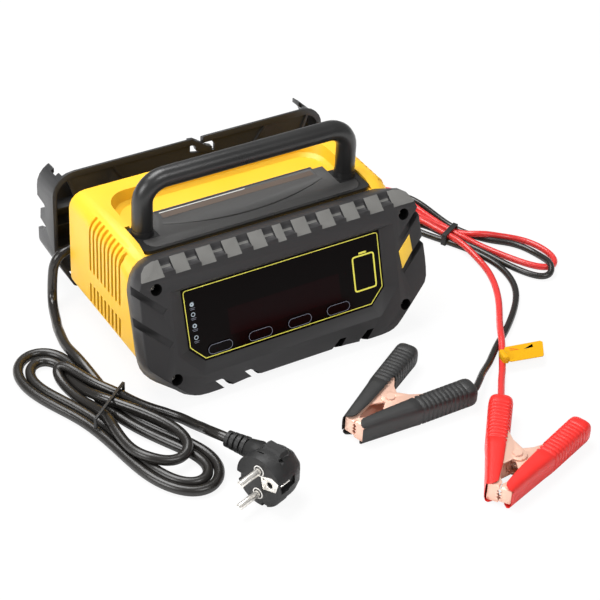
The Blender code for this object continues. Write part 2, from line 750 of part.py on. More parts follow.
# ---------------------------------------------------------------- lid and carry handle
def lid_outline():
    """Lid between the handle legs, with a tab beside each leg."""
    inner_x = HANDLE_LEG_X - LEG_CUP
    half = [(LID_HALF, LID_FRONT), (LID_HALF, HANDLE_Y - LEG_CUP), (inner_x, HANDLE_Y - LEG_CUP),
            (inner_x, HANDLE_Y + LEG_CUP), (inner_x, LID_REAR),
            (LABEL_HALF, LID_REAR), (LABEL_HALF, LID_REAR + 0.0030)]
    outline = mirrored(half)
    last = len(outline) - 1
    return rounded(outline, {0: LID_ROUND, last: LID_ROUND}, 5)


def smile_groove_mesh():
    """Thin curved groove pressed into the lid."""
    arc = []
    for i in range(25):
        t = -1 + i / 12
        arc.append((0.0640 * t, 0.0598 + 0.0125 * t * t, LID_TOP + 0.0004))
    return tube_mesh(arc, 0.0008, 1)


def make_lid():
    lid = place("top_lid", plate_mesh(lid_outline(), LID_TOP - LID_THICK, LID_TOP), BLACK)
    boolean(lid, smile_groove_mesh())
    bm = bmesh.new()
    add_box(bm, (-LABEL_HALF + 0.0010, LID_REAR - 0.0085, LID_TOP - 0.0004),
            (LABEL_HALF - 0.0010, LID_REAR + 0.0020, LID_TOP + 0.001))
    boolean(lid, to_mesh(bm))
    return lid


def handle_base_outline():
    inner_x = HANDLE_LEG_X - LEG_CUP + CLEAR
    rear = HANDLE_Y + 0.0085
    edge = LID_HALF + CLEAR
    front = FRONT_FOOT_Y + (BEZEL_TOP * math.sin(LEAN)) + BEZEL_DEPTH * math.cos(LEAN) + 0.0010
    half = HANDLE_BASE_HALF
    right = [(half, front), (half, rear), (inner_x, rear), (inner_x, HANDLE_Y - LEG_CUP + CLEAR),
             (edge, HANDLE_Y - LEG_CUP + CLEAR), (edge, LID_FRONT - CLEAR)]
    outline = right + [(-x, y) for x, y in reversed(right)]
    inner_right, inner_left = 5, 6
    return rounded(outline, {0: 0.005, 11: 0.005, inner_right: LID_ROUND, inner_left: LID_ROUND}, 5)


def handle_path():
    """Centre line of the bar: leg, bend, bar, bend, leg."""
    foot = LID_TOP - LID_THICK + 0.0005
    points = [(-HANDLE_LEG_X, HANDLE_Y, foot), (-HANDLE_LEG_X, HANDLE_Y, foot + 0.012)]
    low = HANDLE_BAR_Z - HANDLE_BEND
    for side in (-1, 1):
        for i in range(9):
            angle = math.pi / 2 * i / 8
            if side < 0:
                x = -HANDLE_LEG_X + HANDLE_BEND * (1 - math.cos(angle))
                z = low + HANDLE_BEND * math.sin(angle)
            else:
                x = HANDLE_LEG_X - HANDLE_BEND * (1 - math.sin(angle))
                z = low + HANDLE_BEND * math.cos(angle)
            points.append((x, HANDLE_Y, z))
    points += [(HANDLE_LEG_X, HANDLE_Y, foot + 0.012), (HANDLE_LEG_X, HANDLE_Y, foot)]
    return points


def finger_mesh():
    """Scallops along the underside of the bar."""
    bm = bmesh.new()
    gaps = FINGER_COUNT - 1
    for i in range(gaps):
        x = (i - (gaps - 1) / 2) * FINGER_PITCH + 0.0011
        depth = 0.0012
        chord = FINGER_PITCH * 0.42
        radius = (chord ** 2 + depth ** 2) / (2 * depth)
        z = HANDLE_BAR_Z - HANDLE_RADIUS + depth - radius
        add_rod(bm, (x, HANDLE_Y - 0.012, z), (x, HANDLE_Y + 0.012, z), radius, sides=40)
    return to_mesh(bm)


def make_handle():
    bar = tube_mesh(handle_path(), HANDLE_RADIUS, 5)
    handle = place("carry_handle", bar, BLACK)
    base = plate_mesh(handle_base_outline(), LID_TOP - LID_THICK, LID_TOP)
    boolean(handle, base, "UNION")
    bm = bmesh.new()
    for side in (-1, 1):
        x = side * HANDLE_LEG_X
        add_rod(bm, (x, HANDLE_Y, LID_TOP - LID_THICK), (x, HANDLE_Y, LID_TOP + 0.0040),
                HANDLE_RADIUS + 0.0011, HANDLE_RADIUS + 0.0003, 22)
    boolean(handle, to_mesh(bm), "UNION")
    boolean(handle, finger_mesh())
    return handle


make_lid()
make_handle()


# ---------------------------------------------------------------- cord cradle
def cradle_ring(y, top, inset=0.0):
    """The cradle's outer shape in x and z, at one depth."""
    half = CRADLE_HALF - inset
    outline = mirrored([(CRADLE_FLOOR_X - inset * 0.6, FLOOR_GAP + inset), (half, CRADLE_SIDE_Z - inset * 0.2),
                        (half, top - inset)])
    corner = CRADLE_ROUND - inset
    outline = rounded(outline, {0: 0.004, 1: 0.012, 2: corner, 3: corner, 4: 0.012, 5: 0.004}, 6)
    return [(x, y, z) for x, z in outline]


def side_mesh(outline, left, right):
    """An outline in y and z, extruded from x = left to x = right."""
    mesh = plate_mesh(outline, left, right)
    mesh.transform(Matrix(((0, 0, 1, 0), (1, 0, 0, 0), (0, 1, 0, 0), (0, 0, 0, 1))))
    return mesh


# hooked notches in the back edge of each cheek, in y and z
CHEEK_NOTCHES = [(0.1800, 0.0707), (0.1657, 0.0689), (0.1640, 0.0672), (0.1720, 0.0618), (0.1730, 0.0528),
                 (0.1635, 0.0506), (0.1630, 0.0484), (0.1766, 0.0425), (0.1800, 0.0410)]


def trim_cradle(cradle):
    """Take off the shell all that is behind the plate but the cheeks and horns."""
    behind = CRADLE_PLATE_Y + CRADLE_PLATE
    boolean(cradle, box_mesh((-CRADLE_HORN, behind, 0.060), (CRADLE_HORN, 0.2, 0.12)))
    boolean(cradle, box_mesh((-0.0980, behind + 0.0005, -0.01), (0.0980, 0.2, 0.0100)))
    for side in (-1, 1):
        near, far = side * 0.1040, side * 0.1200
        boolean(cradle, side_mesh(CHEEK_NOTCHES, min(near, far), max(near, far)))
    boolean(cradle, box_mesh((-0.12, CRADLE_BACK - 0.0015, 0.0820), (0.12, 0.19, 0.12),
                             Matrix.Rotation(math.radians(14), 4, "X")))


# cord clip in the top edge, in x and z: a slot, a hollow under it and a slanted tongue
CLIP_SLOT = [(0.0015, 0.0930), (0.0096, 0.0930), (0.0096, 0.1100), (0.0015, 0.1100)]
CLIP_HOLLOW = [(0.0000, 0.0880), (0.0120, 0.0854), (0.0203, 0.0854), (0.0203, 0.0905), (0.0180, 0.0937),
               (0.0000, 0.0940)]
CLIP_TONGUE = [(-0.0020, 0.1000), (0.0022, 0.0995), (0.0060, 0.0970), (0.0120, 0.0925), (0.0173, 0.0900),
               (0.0165, 0.0858), (0.0128, 0.0857), (0.0044, 0.0896), (0.0030, 0.0945), (-0.0020, 0.0965)]


POCKET_OUTLINE = [(0.0840, 0.0045), (0.0968, 0.0045), (0.1092, 0.0325), (0.1092, 0.0850), (0.1005, 0.0945),
                  (0.0840, 0.0945)]


def plate_outline():
    half = CRADLE_PLATE_HALF
    return mirrored([(0.0860, FLOOR_GAP + 0.001), (0.0900, 0.0700), (half, 0.0935), (half - 0.004, CRADLE_TOP - 0.003)])


def make_cradle():
    lip, back = CRADLE_LIP, CRADLE_BACK
    shell = loft_mesh([cradle_ring(CRADLE_FRONT, CRADLE_TOP), cradle_ring(CRADLE_FRONT + lip, CRADLE_TOP),
                       cradle_ring(CRADLE_FRONT + lip + 0.0004, CRADLE_TOP - 0.0022),
                       cradle_ring(back, CRADLE_TOP - 0.0045)])
    cradle = place("cord_cradle", shell, BLACK)
    wall = CRADLE_WALL
    boolean(cradle, loft_mesh([cradle_ring(CRADLE_FRONT - 0.01, CRADLE_TOP - 0.0010, wall),
                               cradle_ring(CRADLE_FRONT + lip, CRADLE_TOP - 0.0020, wall),
                               cradle_ring(back + 0.01, CRADLE_TOP - 0.0053, wall)]))
    trim_cradle(cradle)
    boolean(cradle, wall_mesh(plate_outline(), CRADLE_PLATE_Y, CRADLE_PLATE_Y + CRADLE_PLATE), "UNION")
    for side in (-1, 1):
        pocket = [(side * x, z) for x, z in POCKET_OUTLINE]
        boolean(cradle, wall_mesh(pocket, POCKET_BACK, POCKET_BACK + 0.0018), "UNION")
    bm = bmesh.new()
    # slanted stiffening ribs on the plate, and ladder ribs across each side pocket
    for side in (-1, 1):
        for top_x, top_z, low_x, low_z in ((0.0635, 0.0975, 0.0420, 0.0640), (0.0985, 0.0950, 0.0800, 0.0420)):
            slant = math.atan2(top_x - low_x, top_z - low_z)
            middle = Matrix.Translation((side * (top_x + low_x) / 2, CRADLE_PLATE_Y - 0.0006, (top_z + low_z) / 2))
            turn = Matrix.Rotation(side * slant, 4, "Y")
            size = Matrix.Diagonal((0.0022, 0.0030, math.hypot(top_x - low_x, top_z - low_z), 1.0))
            bmesh.ops.create_cube(bm, size=1.0, matrix=middle @ turn @ size)
        for z in RIB_HEIGHTS:
            near, far = side * 0.0850, side * (CRADLE_HALF - 0.0010)
            add_box(bm, (min(near, far), CRADLE_PLATE_Y + 0.0006, z - 0.0007),
                    (max(near, far), CRADLE_PLATE_Y + 0.0120, z + 0.0007))
    boolean(cradle, to_mesh(bm), "UNION", crossing=True)
    bm = bmesh.new()
    for x in (-POST_X, POST_X):
        for z in POST_Z:
            add_rod(bm, (x, HOUSING_REAR + CLEAR, z), (x, CRADLE_PLATE_Y + 0.001, z), POST_RADIUS, sides=20)
    boolean(cradle, to_mesh(bm), "UNION")
    for outline in (CLIP_SLOT, CLIP_HOLLOW):
        boolean(cradle, wall_mesh(outline, 0.1400, 0.1700))
    boolean(cradle, wall_mesh(CLIP_TONGUE, CRADLE_FRONT + 0.0002, CRADLE_PLATE_Y + CRADLE_PLATE - 0.0002), "UNION")
    return cradle


make_cradle()


# ---------------------------------------------------------------- inside the housing
def board_posts():
    half = BOARD_HALF - 0.006
    return [(x, y) for x in (-half, half) for y in (BOARD_FRONT + 0.006, BOARD_REAR - 0.006)]


def make_inside():
    floor = FLOOR_GAP + HOUSING_WALL
    board_low = floor + BOARD_LIFT
    board_top = board_low + BOARD_THICK
    bm = bmesh.new()
    for x, y in board_posts():
        add_rod(bm, (x, y, floor - 0.001), (x, y, board_low - CLEAR), 0.0035, sides=16)
    boolean(bpy.data.objects["housing"], to_mesh(bm), "UNION")
    place("main_board", box_mesh((-BOARD_HALF, BOARD_FRONT, board_low), (BOARD_HALF, BOARD_REAR, board_top)),
          BOARD)

    base = board_top + CLEAR
    blocks = []
    for (wide, deep, tall), lift in ((CORE_SIZE, 0.0), (WINDING_SIZE, 0.0040)):
        blocks.append(box_mesh((CORE_X - wide / 2, CORE_Y - deep / 2, base + lift),
                               (CORE_X + wide / 2, CORE_Y + deep / 2, base + lift + tall)))
    core = place("transformer", blocks[0], FERRITE)
    boolean(core, blocks[1], "UNION")

    wide, deep, tall = SINK_SIZE
    bm = bmesh.new()
    add_box(bm, (SINK_X, SINK_REAR - deep, base), (SINK_X + 0.0040, SINK_REAR, base + tall))
    sink = place("heat_sink", to_mesh(bm), ALUMINIUM)
    bm = bmesh.new()
    for i in range(SINK_FINS):
        z = base + tall * (i + 0.5) / SINK_FINS
        add_box(bm, (SINK_X + 0.0035, SINK_REAR - deep, z), (SINK_X + wide, SINK_REAR, z + SINK_FIN))
    boolean(sink, to_mesh(bm), "UNION")

    for i, (x, y) in enumerate(((-0.0700, 0.1060), (-0.0470, 0.1080))):
        place(f"capacitor_{i + 1}", rod_mesh((0, 0, 0), (0, 0, CAPACITOR_TALL), CAPACITOR_RADIUS, sides=24),
              RUBBER, location=(x, y, base))


def make_fan():
    back = HOUSING_REAR - HOUSING_WALL - CLEAR
    half = FAN_SIZE / 2
    frame = place("fan_frame", box_mesh((FAN_X - half, back - FAN_DEPTH, FAN_Z - half),
                                        (FAN_X + half, back, FAN_Z + half)), BLACK)
    boolean(frame, rod_mesh((FAN_X, back - FAN_DEPTH - 0.001, FAN_Z), (FAN_X, back - 0.0020, FAN_Z),
                            half - 0.0015, sides=40))
    bm = bmesh.new()
    for turn in range(4):
        angle = math.pi / 4 + math.pi / 2 * turn
        middle = Matrix.Translation((FAN_X + 0.0160 * math.cos(angle), back - 0.0010,
                                     FAN_Z + 0.0160 * math.sin(angle)))
        spin = Matrix.Rotation(-angle, 4, "Y")
        size = Matrix.Diagonal((0.0110, 0.0060, 0.0130, 1.0))
        bmesh.ops.create_cube(bm, size=1.0, matrix=middle @ spin @ size)
    boolean(frame, to_mesh(bm))
    rotor_back = back - 0.0020 - CLEAR
    hub = rod_mesh((0, -FAN_HUB_DEPTH, 0), (0, 0, 0), FAN_HUB, sides=28)
    rotor = place("fan_rotor", hub, BLACK, location=(FAN_X, rotor_back, FAN_Z))
    bm = bmesh.new()
    for i in range(FAN_BLADES):
        angle = 2 * math.pi * i / FAN_BLADES
        pitch = Matrix.Rotation(math.radians(38), 4, "X")
        size = Matrix.Diagonal((BLADE_LONG, 0.0012, BLADE_WIDE, 1.0))
        reach = Matrix.Translation((FAN_HUB + BLADE_LONG / 2 - 0.0013, -FAN_HUB_DEPTH / 2, 0))
        spin = Matrix.Rotation(angle, 4, "Y")
        bmesh.ops.create_cube(bm, size=1.0, matrix=spin @ reach @ pitch @ size)
    boolean(rotor, to_mesh(bm), "UNION", location=(FAN_X, rotor_back, FAN_Z))


def make_cradle_screws():
    """Screws through the plate and posts of the cradle into the rear wall."""
    bores = bmesh.new()
    heads = CRADLE_PLATE_Y + CRADLE_PLATE
    number = 1
    for x in (-POST_X, POST_X):
        for z in POST_Z:
            add_rod(bores, (x, HOUSING_REAR - 0.006, z), (x, heads + 0.002, z), 0.0018 + CLEAR, sides=14)
            screw = place(f"cradle_screw_{number}",
                          rod_mesh((0, heads + CLEAR, 0), (0, heads + 0.0024, 0), 0.0036, 0.0030, 18),
                          STEEL, location=(x, 0, z))
            boolean(screw, rod_mesh((0, HOUSING_REAR - 0.0024, 0), (0, heads + 0.001, 0), 0.0018, sides=14),
                    "UNION", location=(x, 0, z))
            number += 1
    mesh = to_mesh(bores)
    boolean(bpy.data.objects["cord_cradle"], mesh)
    boolean(bpy.data.objects["housing"], mesh)


make_inside()
make_fan()
make_cradle_screws()


# ---------------------------------------------------------------- glands and mains cord
def boot_ring(x, half_y, half_z):
    return [(x, GLAND_Y + half_y * math.cos(a), GLAND_Z + half_z * math.sin(a))
            for a in (2 * math.pi * i / 20 for i in range(20))]


def make_gland(name, side, bores, half_tall):
    """Right-angle boot that leads a cord off along the rear wall."""
    root, tip = side * GLAND_ROOT_X, side * GLAND_TIP_X
    rings = [(root, 0.0072, 0.0072 + half_tall), (side * 0.0640, 0.0070, 0.0068 + half_tall),
             (tip, 0.0052, 0.0052 + half_tall)]
    gland = place(name, loft_mesh([boot_ring(*ring) for ring in rings]), RUBBER)
    centre = (side * (GLAND_ROOT_X + 0.0045), GLAND_Z)
    reach = 0.0085 + half_tall
    boolean(gland, rod_mesh((centre[0], HOUSING_REAR + CLEAR, centre[1]),
                            (centre[0], HOUSING_REAR + 0.0030, centre[1]), reach), "UNION")
    boolean(gland, rod_mesh((centre[0], HOUSING_REAR + 0.0010, centre[1]), (centre[0], GLAND_Y, centre[1]),
                            0.0062 + half_tall), "UNION")
    bm = bmesh.new()
    for z, radius in bores:
        add_rod(bm, (tip + side * 0.002, GLAND_Y, z), (tip - side * 0.0140, GLAND_Y, z), radius + CLEAR)
    boolean(gland, to_mesh(bm))
    bm = bmesh.new()
    for i in range(3):
        x = side * (0.0700 + 0.0055 * i)
        for flip in (-1, 1):
            add_box(bm, (x - 0.0007, GLAND_Y - 0.009, GLAND_Z + flip * (0.0054 + half_tall) - 0.0012),
                    (x + 0.0007, GLAND_Y + 0.009, GLAND_Z + flip * (0.0054 + half_tall) + 0.0012))
    return gland


LEAD_SPLIT = LEAD_RADIUS + 0.0004
make_gland("mains_gland", -1, [(GLAND_Z, MAINS_RADIUS)], 0.0)
make_gland("output_gland", 1, [(GLAND_Z - LEAD_SPLIT, LEAD_RADIUS), (GLAND_Z + LEAD_SPLIT, LEAD_RADIUS)], 0.0025)

MAINS_ROUTE = [
    (-0.0780, 0.1415, 0.0430), (-0.0880, 0.1415, 0.0430), (-0.0970, 0.1415, 0.0430), (-0.1050, 0.1415, 0.0420),
    (-0.1120, 0.1415, 0.0385), (-0.1160, 0.1415, 0.0310), (-0.1175, 0.1412, 0.0200), (-0.1190, 0.1390, 0.0095),
    (-0.1215, 0.1330, 0.0045), (-0.1245, 0.1240, 0.0037), (-0.1272, 0.1150, 0.0037), (-0.1292, 0.1080, 0.0037),
    (-0.1300, 0.1030, 0.0037), (-0.1300, 0.0975, 0.0037)]
place("mains_cord", tube_mesh(smooth_route(MAINS_ROUTE, 0.008), MAINS_RADIUS), CORD_BLACK)


def plug_point(x, y):
    """A point of the plug's own frame, at the height of its middle."""
    cosine, sine = math.cos(PLUG_TURN), math.sin(PLUG_TURN)
    return (PLUG_FACE[0] + x * cosine - y * sine, PLUG_FACE[1] + x * sine + y * cosine, PLUG_FACE[2])


PLUG_LEAD_ROUTE = [
    (-0.1125, 0.0080, 0.0037), (-0.1080, -0.0010, 0.0037), (-0.1030, -0.0110, 0.0037), (-0.0985, -0.0220, 0.0045),
    (-0.0955, -0.0330, 0.0068), (-0.0942, -0.0440, 0.0112), (-0.0942, -0.0540, 0.0160),
    plug_point(0.0170, 0.0487), plug_point(0.0180, 0.0430), plug_point(0.0193, 0.0350)]
place("plug_lead", tube_mesh(smooth_route(PLUG_LEAD_ROUTE, 0.008), MAINS_RADIUS), CORD_BLACK)

# outer shape of the wound mains cord, seen from above
HANK_OUTLINE = [(-0.1290, 0.0700), (-0.1235, 0.0970), (-0.1600, 0.0970), (-0.1820, 0.0880), (-0.1830, 0.0620),
                (-0.1590, -0.0080), (-0.1500, -0.0550), (-0.1480, -0.0800), (-0.1340, -0.0980), (-0.1060, -0.0970),
                (-0.0935, -0.0800), (-0.1060, -0.0420), (-0.1180, 0.0140), (-0.1230, 0.0400)]
HANK_ROUNDS = {1: 0.002, 2: 0.020, 3: 0.016, 4: 0.020, 7: 0.012, 8: 0.014, 9: 0.014, 10: 0.012}
HANK_TIE_AT = (-0.1387, 0.0058)
HANK_TIE_TURN = math.atan2(0.0234, 0.0307)   # square across the strands
LEAD_HANK_OUTLINE = [(0.1690, 0.0920), (0.1630, 0.1480), (0.1690, 0.1740), (0.1920, 0.1740), (0.1975, 0.1480),
                     (0.1975, 0.0900), (0.2180, 0.0680), (0.2400, 0.0520), (0.2500, 0.0200), (0.2420, -0.0060),
                     (0.2260, -0.0150), (0.2090, -0.0080), (0.1960, 0.0220), (0.1890, 0.0420), (0.1760, 0.0680)]
LEAD_HANK_ROUNDS = {2: 0.008, 3: 0.008, 7: 0.014, 8: 0.020, 9: 0.012, 10: 0.010, 11: 0.010}
LEAD_TIE_AT = (0.1862, 0.0745)
LEAD_TIE_TURN = math.atan2(0.0094, 0.0180)


def make_hank(name, outline, rounds, thick, at, turn, span, tie_name, tie_wide, material):
    """A wound cord as one flat solid, with its tie round the middle."""
    hank = place(name, plate_mesh(rounded(outline, rounds, 4), 0.0002, thick), material)
    band = 0.0012
    mouth = span / 2 - band - CLEAR
    low, high = band + 0.0002 + CLEAR, thick - band - CLEAR
    spot = (*at, 0)
    around = [(-span, -0.01), (span, -0.01), (span, thick + 0.01), (-span, thick + 0.01)]
    waist = [(-mouth, low), (mouth, low), (mouth, high), (-mouth, high)]
    boolean(hank, wall_mesh(around, -tie_wide / 2 - CLEAR, tie_wide / 2 + CLEAR, [waist]),
            location=spot, rotation=(0, 0, turn))
    outer = box_mesh((-span / 2, -tie_wide / 2, 0.0002), (span / 2, tie_wide / 2, thick))
    tie = place(tie_name, outer, RUBBER, location=spot, rotation=(0, 0, turn))
    boolean(tie, box_mesh((-span / 2 + band, -0.05, band + 0.0002), (span / 2 - band, 0.05, thick - band)),
            location=spot, rotation=(0, 0, turn))


make_hank("mains_hank", HANK_OUTLINE, HANK_ROUNDS, HANK_THICK, HANK_TIE_AT, HANK_TIE_TURN, 0.0430, "hank_tie",
          HANK_TIE, CORD_BLACK)
make_hank("lead_hank", LEAD_HANK_OUTLINE, LEAD_HANK_ROUNDS, LEAD_HANK_THICK, LEAD_TIE_AT, LEAD_TIE_TURN, 0.0200,
          "lead_tie", 0.0040, CORD_RED)


# ---------------------------------------------------------------- plug
# local x runs from the face into the body, y along the cord, z up
PLUG = make_empty("plug", PLUG_FACE, (0, 0, PLUG_TURN), DATUM)


def make_plug():
    profile = [(0.0, 0.0), (0.0180, 0.0), (PLUG_RADIUS, 0.0010), (PLUG_RADIUS, 0.0160), (0.0165, 0.0230),
               (0.0125, PLUG_DEPTH), (0.0, PLUG_DEPTH)]
    sides = 32
    rings = [[(x, r * math.cos(a), r * math.sin(a)) for a in (2 * math.pi * i / sides for i in range(sides))]
             for r, x in profile[1:-1]]
    body = place("plug_body", loft_mesh(rings), RUBBER, PLUG)
    neck = [(0.0175, 0.0, 0.0110), (0.0200, 0.0180, 0.0095), (0.0212, 0.0265, 0.0062)]
    boolean(body, rod_mesh((neck[0][0], neck[0][1], 0), (neck[1][0], neck[1][1], 0), neck[0][2], neck[1][2], 24),
            "UNION", PLUG)
    boolean(body, rod_mesh((neck[1][0] - 0.0001, neck[1][1] - 0.001, 0), (neck[2][0], neck[2][1], 0), neck[1][2],
                           neck[2][2], 24), "UNION", PLUG)
    boolean(body, rod_mesh((0.0211, 0.0255, 0), (0.0180, 0.0430, 0), 0.0056, 0.0050, 24), "UNION", PLUG)
    boolean(body, rod_mesh((0.0198, 0.0315, 0), (0.0174, 0.0452, 0), MAINS_RADIUS + CLEAR), parent=PLUG)
    bm = bmesh.new()
    for side in (-1, 1):
        add_rod(bm, (-0.001, 0, side * PIN_SPACE / 2), (0.0100, 0, side * PIN_SPACE / 2), PIN_RADIUS + CLEAR)
    add_box(bm, (-0.001, -0.0200, -0.0050), (0.0018, -0.0068, 0.0050))
    add_box(bm, (0.0008, -0.0200, -0.0035), (0.0150, -0.0172, 0.0035))
    boolean(body, to_mesh(bm), parent=PLUG, crossing=True)
    for i, side in enumerate((-1, 1)):
        pin = place(f"plug_pin_{i + 1}",
                    rod_mesh((-PIN_LENGTH + 0.0010, 0, 0), (0.0100 - CLEAR, 0, 0), PIN_RADIUS, sides=20),
                    STEEL, PLUG, (0, 0, side * PIN_SPACE / 2))
        boolean(pin, rod_mesh((-PIN_LENGTH, 0, 0), (-PIN_LENGTH + 0.0012, 0, 0), PIN_RADIUS - 0.0008,
                              PIN_RADIUS - 0.0001, 20), "UNION", PLUG, (0, 0, side * PIN_SPACE / 2))
    plate = place("earth_plate", box_mesh((0.0002, -0.0186, -0.0047), (0.0015, -0.0071, 0.0047)), STEEL, PLUG)
    boolean(plate, box_mesh((0.0012, -0.0186, -0.0032), (0.0140, -0.0176, 0.0032)), "UNION", PLUG)
    boolean(plate, rod_mesh((-0.001, -0.0108, 0), (0.003, -0.0108, 0), 0.0026), parent=PLUG)


make_plug()


# ---------------------------------------------------------------- clamps
def arm_point(s, offset):
    """A point on an arm, s along it and offset out from its centre line."""
    cosine, sine = math.cos(ARM_ANGLE), math.sin(ARM_ANGLE)
    return (ARM_TIP[0] + s * cosine - offset * sine, ARM_TIP[1] + s * sine + offset * cosine)


def jaw_outline():
    ear = [(0.0065 * math.cos(a), 0.0065 * math.sin(a)) for a in
           (math.radians(170 + 25 * i) for i in range(8))]
    return ([(-0.0360, 0.0002), (-0.0310, 0.0002), (-0.0270, 0.0030), (-0.0140, 0.0055)] + ear
            + [(0.0120, 0.0070), arm_point(0.0600, -0.0045), arm_point(0.0600, 0.0052), (-0.0360, 0.0082)])


def channel_outline():
    """Hollow of a jaw, which leaves its back, its two sides and its front plate."""
    back_end = arm_point(0.0600, 0.0052 - JAW_WALL)
    return [(-0.0360 + JAW_WALL, -0.0100), (0.0300, -0.0100), (0.0300, back_end[1] + 0.0025),
            back_end, (-0.0360 + JAW_WALL, 0.0082 - JAW_WALL)]


def flipped(outline, side):
    return [(x, y * side) for x, y in outline]


def jaw_piece(name, parent, side, half):
    jaw = place(name, plate_mesh(flipped(jaw_outline(), side), -half, half), COPPER, parent)
    inner = half - JAW_WALL
    boolean(jaw, plate_mesh(flipped(channel_outline(), side), -inner, inner), parent=parent)
    boolean(jaw, rod_mesh((0, 0, -half - 0.002), (0, 0, half + 0.002), RIVET_RADIUS + CLEAR), parent=parent)
    return jaw


def sleeve_ring(s, wide, thick, side):
    """One rounded section of a sleeve."""
    points = []
    steps = 20
    for i in range(steps):
        a = 2 * math.pi * (i + 0.5) / steps
        power = 0.62
        across = math.copysign(abs(math.cos(a)) ** power, math.cos(a)) * wide / 2
        up = math.copysign(abs(math.sin(a)) ** power, math.sin(a)) * thick / 2
        x, y = arm_point(s, across)
        points.append((x, y * side, up))
    return points


SLEEVE_SECTIONS = [(-0.0005, 0.0106, 0.0168), (0.0200, 0.0124, 0.0176), (0.0400, 0.0144, 0.0176),
                   (0.0455, 0.0156, 0.0174), (ARM_LENGTH - 0.0030, 0.0168, 0.0170), (ARM_LENGTH, 0.0148, 0.0150)]


def sleeve_piece(name, parent, side, material, cord):
    sleeve = place(name, loft_mesh([sleeve_ring(*s, side) for s in SLEEVE_SECTIONS]), material, parent)
    mouth = arm_point(0.0455, 0.0)[0]
    back_near = (-0.0400, 0.0082 + CLEAR - 0.0011)
    back_far = arm_point(0.0612, 0.0052 + CLEAR)
    tail_near, tail_far = (0.0126, 0.0070), arm_point(0.0612, -0.0045 - CLEAR)
    boolean(sleeve, plate_mesh(flipped([back_near, (-0.0400, -0.0100), (tail_near[0], -0.0100), tail_near,
                                        tail_far, back_far], side), -SLEEVE_INNER, SLEEVE_INNER), parent=parent)
    lip = [(-0.0400, -0.0100), (mouth, -0.0100), (mouth, 0.0130), (mouth - 0.006, 0.0128), (-0.0400, 0.0032)]
    boolean(sleeve, plate_mesh(flipped(lip, side), -0.02, 0.02), parent=parent)
    if cord:
        start, end = arm_point(ARM_LENGTH - 0.0120, 0.0), arm_point(ARM_LENGTH + 0.004, 0.0)
        boolean(sleeve, rod_mesh((start[0], start[1] * side, 0), (end[0], end[1] * side, 0),
                                 LEAD_RADIUS + CLEAR, sides=16), parent=parent)
    return sleeve


def spring_points():
    """Torsion spring round the rivet."""
    turns, steps = 4, 8
    points = []
    for i in range(turns * steps + 1):
        a = 2 * math.pi * i / steps
        points.append((0.0036 * math.cos(a), 0.0036 * math.sin(a), -0.0030 + 0.0060 * i / (turns * steps)))
    return points


def make_clamp(colour, pivot, bearing, fixed_side, grip):
    """Two U-shaped jaws on a rivet, each in a moulded sleeve."""
    clamp = make_empty(f"clamp_{colour}", (*pivot, CLAMP_MIDDLE_Z), (0, 0, bearing), DATUM)
    jaw_piece(f"{colour}_fixed_jaw", clamp, fixed_side, JAW_HALF[0])
    sleeve_piece(f"{colour}_fixed_grip", clamp, fixed_side, grip, True)
    jaw_piece(f"{colour}_moving_jaw", clamp, -fixed_side, JAW_HALF[1])
    sleeve_piece(f"{colour}_moving_grip", clamp, -fixed_side, grip, False)
    head = JAW_HALF[0] + CLEAR
    rivet = place(f"{colour}_rivet", rod_mesh((0, 0, -head - 0.0007), (0, 0, head + 0.0007), RIVET_RADIUS,
                                              sides=20), COPPER, clamp)
    bm = bmesh.new()
    for side in (-1, 1):
        add_rod(bm, (0, 0, side * head), (0, 0, side * (head + 0.0008)), RIVET_HEAD, RIVET_HEAD - 0.0004, 20)
    boolean(rivet, to_mesh(bm), "UNION", clamp)
    place(f"{colour}_spring", tube_mesh(spring_points(), 0.0006, 1), STEEL, clamp)


make_clamp("black", *CLAMP_BLACK, GRIP_BLACK)
make_clamp("red", *CLAMP_RED, GRIP_RED)


# ---------------------------------------------------------------- output leads
def clamp_entry(pivot, bearing, side, s):
    """A point on the fixed arm's centre line, in the charger's own frame."""
    x, y = arm_point(s, 0.0)
    y *= side
    return (pivot[0] + x * math.cos(bearing) - y * math.sin(bearing),
            pivot[1] + x * math.sin(bearing) + y * math.cos(bearing), CLAMP_MIDDLE_Z)


RED_ENTRY = [clamp_entry(*CLAMP_RED, ARM_LENGTH + d) for d in (-0.009, 0.0, 0.005)]
BLACK_ENTRY = [clamp_entry(*CLAMP_BLACK, ARM_LENGTH + d) for d in (-0.009, 0.0, 0.005)]

LEAD_FLOOR = LEAD_RADIUS + 0.0002
RED_FEED = [
    (0.0780, GLAND_Y, GLAND_Z + LEAD_SPLIT), (0.0880, GLAND_Y, GLAND_Z + LEAD_SPLIT),
    (0.0970, GLAND_Y, GLAND_Z + LEAD_SPLIT), (0.1060, 0.1416, 0.0440), (0.1140, 0.1420, 0.0380),
    (0.1200, 0.1430, 0.0280), (0.1245, 0.1450, 0.0160), (0.1295, 0.1480, 0.0070), (0.1360, 0.1520, LEAD_FLOOR),
    (0.1440, 0.1575, LEAD_FLOOR), (0.1520, 0.1612, LEAD_FLOOR), (0.1590, 0.1617, LEAD_FLOOR),
    (0.1651, 0.1604, LEAD_FLOOR)]
BLACK_FEED = [
    (0.0780, GLAND_Y, GLAND_Z - LEAD_SPLIT), (0.0880, GLAND_Y, GLAND_Z - LEAD_SPLIT),
    (0.0960, GLAND_Y, GLAND_Z - LEAD_SPLIT), (0.1035, 0.1412, 0.0372), (0.1100, 0.1405, 0.0310),
    (0.1150, 0.1400, 0.0220), (0.1190, 0.1395, 0.0120), (0.1240, 0.1390, 0.0050), (0.1310, 0.1390, LEAD_FLOOR),
    (0.1400, 0.1395, LEAD_FLOOR), (0.1510, 0.1400, LEAD_FLOOR), (0.1630, 0.1408, LEAD_FLOOR)]
